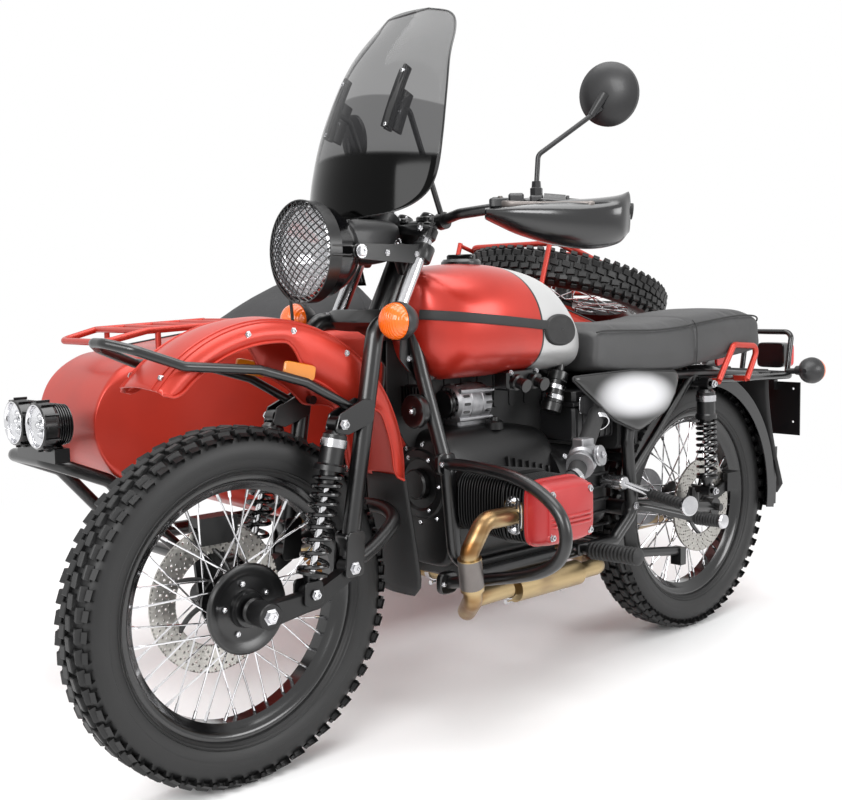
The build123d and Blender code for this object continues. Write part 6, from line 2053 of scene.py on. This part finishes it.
@dataclass
class Pegs:
    """Footpegs with ribbed rubbers and the kick starter."""

    def ribbed(self, start: Triple, end: Triple, radius: float, form: Form, ribs: int = 14) -> None:
        """Adds rubber whose radius waves between ribs, with eased ends.

        Args:
            start: middle of one end.
            end: middle of the other end.
            radius: at the ribs.
            form: what it is added to.
            ribs: number of ribs.
        """
        a, b = np.array(start, float), np.array(end, float)
        length = float(np.linalg.norm(b - a))
        t = np.linspace(0, 1, ribs * 6)
        r = radius * (0.93 + 0.07 * np.sign(np.sin(2 * np.pi * ribs * t)) *
                      np.abs(np.sin(2 * np.pi * ribs * t)) ** 0.4)
        r = r * np.clip(np.minimum(t, 1 - t) * 18, 0, 1) ** 0.25
        form.lathe([(0, 0.5)] + list(zip((t * length)[1:-1].tolist(), r[1:-1].tolist())) + [(length, 0.5)],
                   start, b - a, 28)

    def build(self) -> None:
        """Rider's pegs, passenger's pegs and the folding pedal."""
        rubber, steel, black = Form(), Form(), Form()
        for s in (1, -1):
            reach = 300 if s > 0 else 225
            self.ribbed((s * 150, 150, 329), (s * (reach - 2), 154, 335), 21, rubber)
            black.tube([(s * 104, 150, 325), (s * 156, 150, 329)], 11, 5)
            eased(black, (min(s * 106, s * 134), 132, 314), (max(s * 106, s * 134), 168, 342), 3)
            steel.bolts([(s * 120, 131, 328)], (0, -1, 0), 6, 5)
            self.ribbed((s * 190, 520, 357), (s * 268, 526, 358), 17, rubber, 10)
            steel.lathe([(266, 10), (266, 18), (270, 19), (275, 17), (277, 12), (277, 0.5)],
                        (0, 526, 358), (s, 0, 0), 32)
            black.tube([(s * 116, 362, 402), (s * 140, 410, 390), (s * 176, 500, 362),
                        (s * 196, 521, 357)], 9, 30)
            steel.bolts([(s * 126, 362, 402)], (s, 0, 0), 8, 6)
        steel.lathe([(84, 8), (84, 18), (140, 18), (146, 15), (146, 6)], (0, 292, 470), Axis.X, 32)
        steel.tube([(139, 292, 470), (141, 350, 448), (142, 398, 429)], 9, 40)
        self.ribbed((146, 392, 429), (284, 352, 424), 14.5, rubber, 12)
        steel.lathe([(0, 14), (0, 22), (3, 24), (10, 24), (13, 20), (13, 0.5)], (284, 352, 424),
                    (0.96, -0.28, 0), 40)
        rubber.piece("peg_rubbers", "base", Look.rubber, crease=40)
        black.piece("peg_arms", "base", Look.black, crease=30)
        steel.piece("kick_starter", "base", Look.steel, ("footpegs_and_kick_starter",), crease=32)


def crowned(corners: list, x: float, way: int, steps: tuple, bend: float) -> np.ndarray:
    """Loops of a panel facing X: its outline drawn towards its middle and raised, step by step.

    Args:
        corners: (y, z) pairs round the panel.
        x: distance of the panel's edge from the middle plane.
        way: side of the panel, 1 or -1.
        steps: share of the outline and rise for each loop.
        bend: radius of the corners.

    Returns:
        Grid of points, one row for each step.
    """
    line = eased_outline(corners, bend)
    middle = line.mean(0)
    rows = [np.column_stack([np.full(len(line), way * (x + rise)), middle + (line - middle) * share])
            for share, rise in steps]
    return np.stack(rows)


@dataclass
class Bay:
    """What fills the frame under the tank: gusset plates, inner tray, coil, filter and fuel pump."""

    tray_x: float = -22.0

    def build(self) -> None:
        """Plates square to X, soft boxes and turned canisters; the tray has pressed ribs."""
        tray, form, steel = Form(), Form(), Form()
        plate_x(tray, [(-318, 860), (-322, 690), (-262, 600), (100, 590), (330, 520), (352, 700),
                       (176, 770), (60, 800)],
                self.tray_x, 4, 20)
        eased(tray, (-88, 342, 540), (88, 424, 700), 5)
        eased(tray, (-92, 338, 698), (92, 428, 716), 4)
        for y in (358, 383, 408):
            for s in (1, -1):
                tray.slab(soft_box(4, 62, 5, 20), (s * 88, y, 612), Face.SIDE, 4, 0.8)
        for y in np.linspace(-250, 120, 8):
            plate_x(tray, [(y - 9, 668), (y + 9, 668), (y + 9, 770), (y - 9, 770)], self.tray_x + 3, 5, 7)
        for s in (1, -1):
            plate_x(form, [(-322, 905), (-330, 800), (-270, 735), (-196, 770), (-150, 830), (-210, 880)],
                    s * 34, 6, 22, 2)
            plate_x(form, [(-290, 845), (-282, 795), (-240, 790), (-222, 822), (-250, 850)], s * 38, 5, 14)
            steel.bolts([(s * 38, y, z) for y, z in ((-304, 866), (-306, 800), (-206, 800), (-176, 832))],
                        (s, 0, 0), 6, 5)
            eased(form, (min(s * 44, s * 92), -60, 716), (max(s * 44, s * 92), 40, 762), 6)
            for y in (-40, 20):
                form.lathe([(0, 16), (6, 18), (14, 18), (16, 13), (30, 12), (34, 15), (40, 15), (40, 6)],
                           (s * 92, y, 738), (s, 0, -0.25), 28)
            form.lathe([(-52, 18), (-50, 24), (-30, 25), (-28, 23), (24, 23), (26, 25), (46, 24), (50, 12),
                        (64, 10), (64, 0.5)], (s * 74, 118, 704), (0, 0.35, 1), 36)
            for z in (-16, 8):
                steel.lathe(hoop(z - 5, z + 5, 23.5, 25.5), (s * 74, 118, 704), (0, 0.35, 1), 36)
            steel.bolts([(s * 93, y, 757) for y in (-52, 32)], (s, 0, 0), 5, 5)
        tray.piece("inner_tray", "base", Look.rubber, crease=30)
        form.piece("gussets_and_coils", "base", Look.black, crease=30)
        steel.piece("bay_bolts", "base", Look.steel)


@dataclass
class SidePanels:
    """Side covers, black with a painted highlight: rounded panels, crowned in the middle, with a rubber lip.
    """

    corners: tuple = ((104, 738), (330, 742), (526, 729), (505, 676), (470, 634), (352, 592),
                      (262, 626), (150, 704))
    face: float = 136.0

    def build(self) -> None:
        """The crown rises over the outline as 20·(1 - share²) in its last steps."""
        panel, lip = Form(), Form()
        steps = ((1.0, 0.0), (1.01, 5.0), (0.99, 8.0), (0.95, 9.8)) + tuple(
            (k, 10.2 + 4.6 * (1 - k ** 2)) for k in (0.88, 0.76, 0.6, 0.42, 0.22, 0.04))
        for s in (1, -1):
            panel.solid(crowned(list(self.corners), self.face, s, steps, 60))
            rim = crowned(list(self.corners), self.face, s, ((1.012, 1.0),), 60)[0]
            lip.grid(swept(np.vstack([rim, rim[:1]]), ring(3.0, 8)))
        panel.piece("side_panels", "base", Look.cover, ("side_covers",), crease=40)
        lip.piece("side_panel_lips", "base", Look.rubber)


# ---- sidecar ------------------------------------------------------------------------------------
@dataclass
class Hull:
    """Sheet hull: rolled nose, flat flanks, raised boot deck; open at the cockpit and the boot."""

    middle: float = -700.0
    nose: tuple = (-580.0, 647.0, 160.0)  # Y, Z and radius of the rolled nose
    half: tuple = ((-760, 145), (-640, 171), (-100, 280), (900, 280), (1370, 240))
    top: tuple = ((-580, 807), (-150, 856), (520, 862), (560, 884), (600, 914), (640, 925), (1330, 707.4),
                  (1345, 690), (1354, 668))
    low: tuple = ((-550, 490), (-120, 330), (520, 330), (620, 390), (1220, 390), (1310, 470), (1354, 667))
    cockpit: tuple = (-110.0, 520.0, 215.0)
    boot: tuple = (678.1, 1269.4, 215.0)
    corner: float = 34.0

    def build(self) -> None:
        """Sections are rounded rectangles; those of the nose follow its arc at cosine steps."""
        y0, z0, r0 = self.nose
        phi = np.linspace(0.03, 1, 22) * np.pi / 2
        y = np.concatenate([y0 - r0 * np.cos(phi), np.linspace(-560, -130, 24), [self.cockpit[0]],
                            np.linspace(-80, 500, 22),
                            [520, 535, 550, 575, 600, 622, 640, self.boot[0]], np.linspace(700, 1250, 24),
                            [self.boot[1], 1290, 1310, 1330, 1345, 1352]])
        roll = np.arccos(np.clip((y0 - y) / r0, 0, 1))
        high = np.where(y < y0, z0 + r0 * np.sin(roll), np.interp(y, *np.array(self.top).T))
        under = np.where(y < y0, z0 - (r0 - 3) * np.sin(roll), np.interp(y, *np.array(self.low).T))
        under = np.where((y >= y0) & (y < -500), np.interp(y, (y0, -500), (490, 466)), under)
        half = np.interp(y, *np.array(self.half).T)
        r = np.minimum(self.corner * np.clip((y - y0 + r0) / 90, 0.3, 1), (high - under) * 0.49)[:, None]
        t = np.linspace(0, np.pi / 2, 7)[None]
        fixed = np.linspace(1, -1, 23)[None] * self.cockpit[2]
        inner = half[:, None] - r
        fixed = np.clip(fixed, -inner + 1, inner - 1)
        top_x, top_z = fixed, high[:, None] + 0 * fixed
        right_x, right_z = -(inner + r * np.sin(t)), high[:, None] - r * (1 - np.cos(t))
        side = np.linspace(0, 1, 12)[None, 1:-1]
        flank_z = (high[:, None] - r) * (1 - side) + (under[:, None] + r) * side
        flank_x = -half[:, None] + 0 * flank_z
        turn_x, turn_z = -(inner + r * np.cos(t)), under[:, None] + r * (1 - np.sin(t))
        base = np.linspace(-1, 1, 9)[None, 1:-1]
        base_x, base_z = base * inner, under[:, None] + 0 * base
        x = np.hstack([top_x, right_x, flank_x, turn_x, base_x, -turn_x[:, ::-1], -flank_x[:, ::-1],
                       -right_x[:, ::-1]])
        z = np.hstack([top_z, right_z, flank_z, turn_z, base_z, turn_z[:, ::-1], flank_z[:, ::-1],
                       right_z[:, ::-1]])
        points = xyz(x + self.middle, np.repeat(y[:, None], x.shape[1], 1), z)
        form = Form().grid(points, caps=True, keep=self.sheet)
        form.piece("hull_skin", "base", Look.red, ("sidecar_body",), wall=4.0, crease=40)
        self.trim(points)
        self.inside()

    def sheet(self, places: np.ndarray) -> np.ndarray:
        """Which places of the skin are sheet, and not an opening.

        Args:
            places: middles of its squares.

        Returns:
            True where the sheet stays.
        """
        x, y, z = np.abs(places[:, 0] - self.middle), places[:, 1], places[:, 2]
        up = z > 680
        hole = np.zeros(len(places), bool)
        for start, end, half in (self.cockpit, self.boot):
            hole |= up & (x < half) & (y > start) & (y < end)
        return ~hole

    def trim(self, points: np.ndarray) -> None:
        """Rubber beading along the seams of nose and deck, and hinges of the lid.

        Args:
            points: grid of the hull.
        """
        bead = Form()
        for column in (24, -3):
            line = points[22:-6, column] + np.array([0, 0, 1.5])
            bead.rod(line, 3.0, 8)
        bead.piece("hull_beading", "base", Look.black)
        pins = Form()
        for x in (-130, 130):
            pins.lathe([(-40, 4), (40, 4)], (self.middle + x, 682.3, 926.3), Axis.X, 16)
            for end in (-36, 36):
                pins.lathe([(-5, 8), (5, 8)], (self.middle + x + end, 682.3, 926.3), Axis.X, 20)
        pins.piece("lid_hinge_pins", "base", Look.steel)

    def inside(self) -> None:
        """Cushion, back rest and floor mat of the cockpit."""
        for name, centre, size, lean in (("car_cushion", (-700, 300, 500), (190, 190, 58), 6),
                                         ("car_back_rest", (-700, 520, 680), (190, 52, 150), -14)):
            rows = []
            line = soft_box(size[0], size[2], 5.0, 44)
            for k in np.linspace(-1, 1, 13):
                shrink = (1 - abs(k) ** 5) ** 0.2 * 0.9 + 0.08
                rows.append(xyz(line[:, 0] * shrink, np.full(44, k * size[1]), line[:, 1] * shrink))
            cushion = turned(np.stack(rows), Axis.X, lean) + np.array(centre)
            made = Form().solid(cushion).piece(name, "base", Look.vinyl, crease=60)
            puffed(made, 9.0, centre[2] - size[2])
        mat = Form().slab(soft_box(240, 300, 8, 40), (-700, 200, 338), Face.DECK, 6, 1)
        mat.piece("car_floor_mat", "base", Look.rubber)
        wall = Form().slab(soft_box(272, 230, 10, 40), (-700, 592, 640), Face.FRONT, 4, 0.5)
        wall.piece("car_bulkhead", "base", Look.black)


@dataclass
class Cover:
    """Tonneau cover: one stretched sheet that rises to the small screen, with its studs."""

    middle: float = -700.0
    half: float = 250.0
    rise: tuple = ((-258, 0.0), (-235, 0.10), (-30, 0.97), (-12, 1.0), (8, 0.99), (70, 0.42), (120, 0.26),
                   (330, 0.19), (545, 0.16))
    peak: float = 118.0
    deck: tuple = ((-258, 846), (-150, 858), (520, 864), (545, 880))

    def build(self) -> None:
        """Height = deck + peak·rise(y)·(1 - |x/half|^4)^0.6, with slow folds between the studs."""
        y = smooth(self.rise, 9)
        x = np.linspace(-1, 1, 49)
        grid_y, grid_x = np.meshgrid(y[:, 0], x, indexing="ij")
        arch = np.clip(1 - np.abs(grid_x) ** 4.5, 0, 1) ** 0.6
        fold = 2.2 * np.sin(grid_y / 31.0 + 2.0 * grid_x) * np.sin(np.pi * (grid_x + 1) /
                                                                   2) * (np.abs(grid_x) < 0.98)
        z = np.interp(grid_y, *np.array(self.deck).T) + 3 + self.peak * np.clip(y[:, 1:], 0, 1) * arch + fold
        width = np.interp(grid_y, (-258, -100, 545), (200, 246, 250))
        points = xyz(self.middle + grid_x * width, grid_y, z)
        made = Form().grid(points, closed=False).piece("tonneau_sheet", "base", Look.canvas,
                                                       ("tonneau_cover",), wall=2.0, crease=70)
        studs = Form()
        for row in (0, -1):
            for k in (2, 14, 24, 34, 46):
                studs.bolts([points[row, k] + (0, 8 if row == 0 else -8, 4)], Axis.Z, 6, 3, 16)
        for k in range(14, len(y) - 8, 12):
            for side in (0, -1):
                place = points[k, side] + np.array([6 if side == 0 else -6, 0, 7])
                studs.bolts([place], Axis.Z, 6, 3, 16)
        studs.piece("tonneau_studs", "base", Look.steel)
        pane = Form()
        s = np.linspace(-1, 1, 25)[None]
        h = np.linspace(0, 1, 7)[:, None]
        px = s * (205 - 12 * h)
        py = -16 + 34 * s ** 2 - 6 * h
        pz = 962 + 76 * h - 18 * s ** 4 * h
        pane.grid(xyz(self.middle + px, py + 0 * px, pz), closed=False)
        pane.piece("small_screen", "base", Look.screen, ("sidecar_screen",), wall=3.0, offset=0.0)


@dataclass
class Lamps:
    """Driving lamps, tail lamp and the sidecar's own lamps."""

    pair: tuple = ((-560.0, -868.0, 662.0), (-680.0, -868.0, 662.0))

    def build(self) -> None:
        """Turned bodies with fins behind, a bezel, and round cells behind a clear face."""
        body, face, cells, cups = Form(), Form(), Form(), Form()
        back = Axis.Y
        for c in self.pair:
            body.grid(spun([(4, 44), (-4, 46), (-7, 49), (-4, 52), (22, 53), (28, 50), (30, 40), (62, 34),
                            (64, 10), (58, 8), (20, 12), (12, 42), (4, 44)], c, back, 64))
            for k in range(6):
                body.lathe([(30 + 6 * k, 30), (30 + 6 * k, 50 - k), (32.2 + 6 * k, 50 - k),
                            (32.2 + 6 * k, 30)], c, back, 48)
            t = np.linspace(0, 2 * np.pi, 12, endpoint=False)
            for angle in t:
                place = (c[0] + 54 * math.cos(angle), c[1] + 14, c[2] + 54 * math.sin(angle))
                body.slab(soft_box(2.2, 16, 6, 12), place, ((-math.sin(angle), 0, math.cos(angle)),
                                                            (0, 1, 0)), 6, 0.6)
            cups.grid(spun([(-6, 49.5), (-7.5, 48), (-7, 46), (-3, 44), (4, 43), (14, 26), (20, 20),
                            (22, 0.5)], c, back, 48))
            for ox, oz in ((0, 0), (22, 0), (-22, 0), (11, 19), (-11, 19), (11, -19), (-11, -19)):
                cells.lathe([(14, 9), (9, 8.5), (5, 5), (4, 0.5)], (c[0] + ox, c[1], c[2] + oz), back, 20)
            face.lathe([(2, 44), (-2, 44), (-3, 30), (-3.4, 0.5)], c, back, 48)
            body.slab(soft_box(16, 22, 6, 24), (c[0], c[1] + 30, c[2] - 52), Face.DECK, 10, 2)
            body.bolts([(c[0] + s * 18, c[1] + 30, c[2] - 40) for s in (1, -1)], (1, 0, 0), 5, 5)
        body.piece("driving_lamp_bodies", "base", Look.black, ("driving_lamps",), crease=28)
        cups.piece("driving_lamp_cups", "base", Look.chrome, wall=0.8)
        cells.piece("driving_lamp_cells", "base", Look.steel)
        face.piece("driving_lamp_faces", "base", Look.clear)
        self.markers()
        tail = Form()
        tail.slab(soft_box(47, 37, 6, 40), (0, 1243, 734), Face.FRONT, 28, 6)
        tail.piece("tail_lamp_lens", "base", Look.red_lens)
        fitting = Form().slab(soft_box(46, 38, 6, 40), (0, 1212, 735), Face.FRONT, 36, 3)
        fitting.piece("tail_lamp_body", "base", Look.shiny, ("tail_lamp_and_markers",), crease=28)

    def markers(self) -> None:
        """Marker lamps on the sidecar's fender: amber in front, red behind, in black bowls on stalks."""
        bowls = Form()
        for way, angle, finish, name in ((-1, 130, Look.amber, "front"), (1, 50, Look.red_lens, "rear")):
            y, z = 635 + 430 * math.cos(math.radians(angle)), 346 + 430 * math.sin(math.radians(angle))
            bowls.lathe([(2, 20), (2, 26), (-2, 26.5), (-26, 22), (-38, 12), (-40, 0.5)],
                        (-1130, y, z), (0, way, 0), 40)
            bowls.tube([(-1130, y - way * 20, z - 18), (-1130, y - way * 20, z - 57)], 8, 5)
            bowls.lathe([(0, 8), (0, 16), (4, 15), (8, 8)], (-1130, y - way * 20, z - 60), Axis.Z, 24)
            lens = [(1, 25)] + [(1 + 18 * math.sin(t), 25 * math.cos(t) ** 0.75)
                                for t in np.linspace(0.05, 1.5, 9)]
            Form().lathe(lens, (-1130, y, z), (0, way, 0), 40).piece(f"{name}_marker_lens",
                                                                     "base", finish, crease=60)
        bowls.piece("marker_bowls", "base", Look.plastic, crease=28)


# ---- pieces that keep their CAD mesh ------------------------------------------------------------
KEPT = {
    Look.black: ("fender_guard", "frame", "swingarm", "sidecar_frame",
                 "sidecar_arm", "bumper", "screen_stays", "centre_stand", "handlebar", "plate_bracket"),
    Look.red: ("nose_rack", "grab_handles", "boot_rack", "boot_lid", "sidecar_fender"),
    Look.engine: ("front_caliper", "rear_calipers"),
    Look.alloy: ("final_drive",),
    Look.tinted: ("exhaust",),
    Look.rubber: ("grips", "brake_hose"),
    Look.gloss: ("rear_fender", "rear_rack"),
}


def dress_kept() -> None:
    """Gives each CAD node that stays its finish."""
    for finish, names in KEPT.items():
        for name in names:
            node = bpy.data.objects[name]
            node.data.materials.clear()
            node.data.materials.append(finish.material())
            LOG.info("%s: kept, in %s", name, finish.name)


# ---- studio -------------------------------------------------------------------------------------
@dataclass
class Studio:
    """White studio: floor with a soft shadow, even light, and the camera."""

    camera_at: Triple = (1823.0, -1888.0, 931.0)
    azimuth: float = 47.89
    pitch: float = 5.26
    roll: float = -1.01
    lens: float = 48.096
    fade: tuple = (1.1, 3.0)  # metres from the middle where the floor turns white

    def camera(self) -> None:
        """Looks along -back, with right = (cos a, sin a, 0) turned by the roll."""
        a, e, r = (math.radians(v) for v in (self.azimuth, self.pitch, self.roll))
        right = np.array([math.cos(a), math.sin(a), 0])
        back = np.array([math.sin(a) * math.cos(e), -math.cos(a) * math.cos(e), math.sin(e)])
        up = np.cross(back, right)
        across, high = math.cos(r) * right + math.sin(r) * up, -math.sin(r) * right + math.cos(r) * up
        data = bpy.data.cameras.new("camera")
        data.lens, data.sensor_width, data.sensor_fit = self.lens, 36.0, "HORIZONTAL"
        data.clip_end = 60
        made = bpy.data.objects.new("camera", data)
        place = (np.array(self.camera_at) + ORIGIN) / 1000
        matrix = np.eye(4)
        matrix[:3, :3] = np.column_stack([across, high, back])
        matrix[:3, 3] = place
        made.matrix_world = Matrix(matrix.tolist())
        bpy.context.scene.collection.objects.link(made)
        bpy.context.scene.camera = made

    def floor(self) -> None:
        """Disc that takes the shadow near the machine and turns to plain white light far from it."""
        form = Form().lathe([(0, 30000), (-6, 30000)], (0, 0, -1), Axis.Z, 96)
        mesh = bpy.data.meshes.new("floor")
        mesh.from_pydata((np.vstack(form.points) + ORIGIN) / 1000, [], form.faces)
        made = bpy.data.objects.new("floor", mesh)
        bpy.context.scene.collection.objects.link(made)
        s = Shader("studio_floor")
        far = s.node("ShaderNodeVectorMath", {"operation": "LENGTH"}, {0: s.place()}, out="Value")
        fade = far.between(*self.fade)
        dull = s.node("ShaderNodeBsdfPrincipled", None, {"Base Color": (0.95, 0.95, 0.95, 1),
                                                         "Roughness": 0.6})
        white = s.node("ShaderNodeEmission", None, {"Color": (1, 1, 1, 1), "Strength": 1.0})
        both = s.node("ShaderNodeMixShader", None, {0: fade, 1: dull, 2: white})
        s.tree.links.new(both.socket, s.output.inputs["Surface"])
        mesh.materials.append(s.material)

    def world(self, light: float = 0.8) -> None:
        """White for what the camera and the gloss see; a softer white lights the rest.

        Args:
            light: strength of the white that lights.
        """
        world = bpy.data.worlds.new("studio")
        bpy.context.scene.world = world
        world.use_nodes = True
        tree = world.node_tree
        tree.nodes.clear()
        output, mix = tree.nodes.new("ShaderNodeOutputWorld"), tree.nodes.new("ShaderNodeMixShader")
        path = tree.nodes.new("ShaderNodeLightPath")
        seen = path.outputs["Is Camera Ray"]
        for other in ("Is Glossy Ray", "Is Transmission Ray"):
            most = tree.nodes.new("ShaderNodeMath")
            most.operation = "MAXIMUM"
            tree.links.new(seen, most.inputs[0])
            tree.links.new(path.outputs[other], most.inputs[1])
            seen = most.outputs[0]
        for index, strength in ((1, light), (2, 1.0)):
            white = tree.nodes.new("ShaderNodeBackground")
            white.inputs["Color"].default_value = (1, 1, 1, 1)
            white.inputs["Strength"].default_value = strength
            tree.links.new(white.outputs[0], mix.inputs[index])
        tree.links.new(seen, mix.inputs[0])
        tree.links.new(mix.outputs[0], output.inputs["Surface"])

    def lights(self) -> None:
        """Soft boxes: a wide one over the machine, one at the camera's left and a strip at the rear."""
        boxes = (("overhead", (300, -200, 3600), (0, 100, 300), (3.4, 2.6), 110),
                 ("key", (1500, -3600, 2200), (-200, -100, 600), (2.0, 1.5), 95),
                 ("side", (3600, 1200, 1700), (0, 200, 500), (1.8, 1.5), 60))
        for name, place, aim, size, power in boxes:
            data = bpy.data.lights.new(name, "AREA")
            data.shape, data.size, data.size_y, data.energy = "RECTANGLE", *size, power
            made = bpy.data.objects.new(name, data)
            at, to = (np.array(place) + ORIGIN) / 1000, (np.array(aim) + ORIGIN) / 1000
            back = unit(at - to)
            right = unit(np.cross([0, 0, 1.0], back)) if abs(back[2]) < 0.99 else np.array([1.0, 0, 0])
            matrix = np.eye(4)
            matrix[:3, :3] = np.column_stack([right, np.cross(back, right), back])
            matrix[:3, 3] = at
            made.matrix_world = Matrix(matrix.tolist())
            bpy.context.scene.collection.objects.link(made)

    def build(self) -> None:
        """Sets floor, world, lights and camera."""
        self.floor()
        self.world()
        self.lights()
        self.camera()
        bpy.context.scene.view_settings.view_transform = "Standard"


def main() -> None:
    """Builds every assembly in order, then the studio."""
    logging.basicConfig(level=logging.INFO, format="%(name)s: %(message)s")
    dress_kept()
    Wheel("front", "front_wheel", (0, -735, 346), ("front_tyre", "front_wheel"),
          (147.5, -62.0, 92.0), 1.0).build()
    Wheel("rear", "rear_wheel", (0, 735, 346), ("rear_tyre", "rear_wheel"), (128.0, 62.0, 80.0)).build()
    Wheel("car", "sidecar_wheel", (-1130, 635, 346), ("sidecar_tyre", "sidecar_wheel"),
          (122.0, 62.0, 78.0)).build()
    Wheel("spare", "boot_lid", (-700.0, 1055.4, 935.6), ("spare_tyre", "spare_wheel"), lay=17.5).build()
    for side, name in ((1, "left"), (-1, "right")):
        Damper(f"front_damper_{name}", "steering", (side * 105, -634, 369), (side * 105, -556, 688),
               nodes=("front_shocks",) if side > 0 else ()).build()
        Damper(f"rear_damper_{name}", "base", (side * 138, 655, 405), (side * 138, 645, 690), 28.0,
               nodes=("rear_shocks",) if side > 0 else ()).build()
    Damper("car_damper", "base", (-1032, 575, 380), (-1032, 545, 640), 24.0, 7.0).build()
    Fender("front_fender_sheet", "steering", "front_fender", (0, -674, 567), 328, 78, -3, 140, Look.red,
           panel=(34, 78, 104)).build()
    for assembly in (Fork, Headlamp, Windscreen, Controls, Tank, Seat, Engine, Casings, Bay,
                     SidePanels, Pegs, Flaps, Hull, Cover, Lamps, Studio):
        assembly().build()


if __name__ == "__main__":
    main()
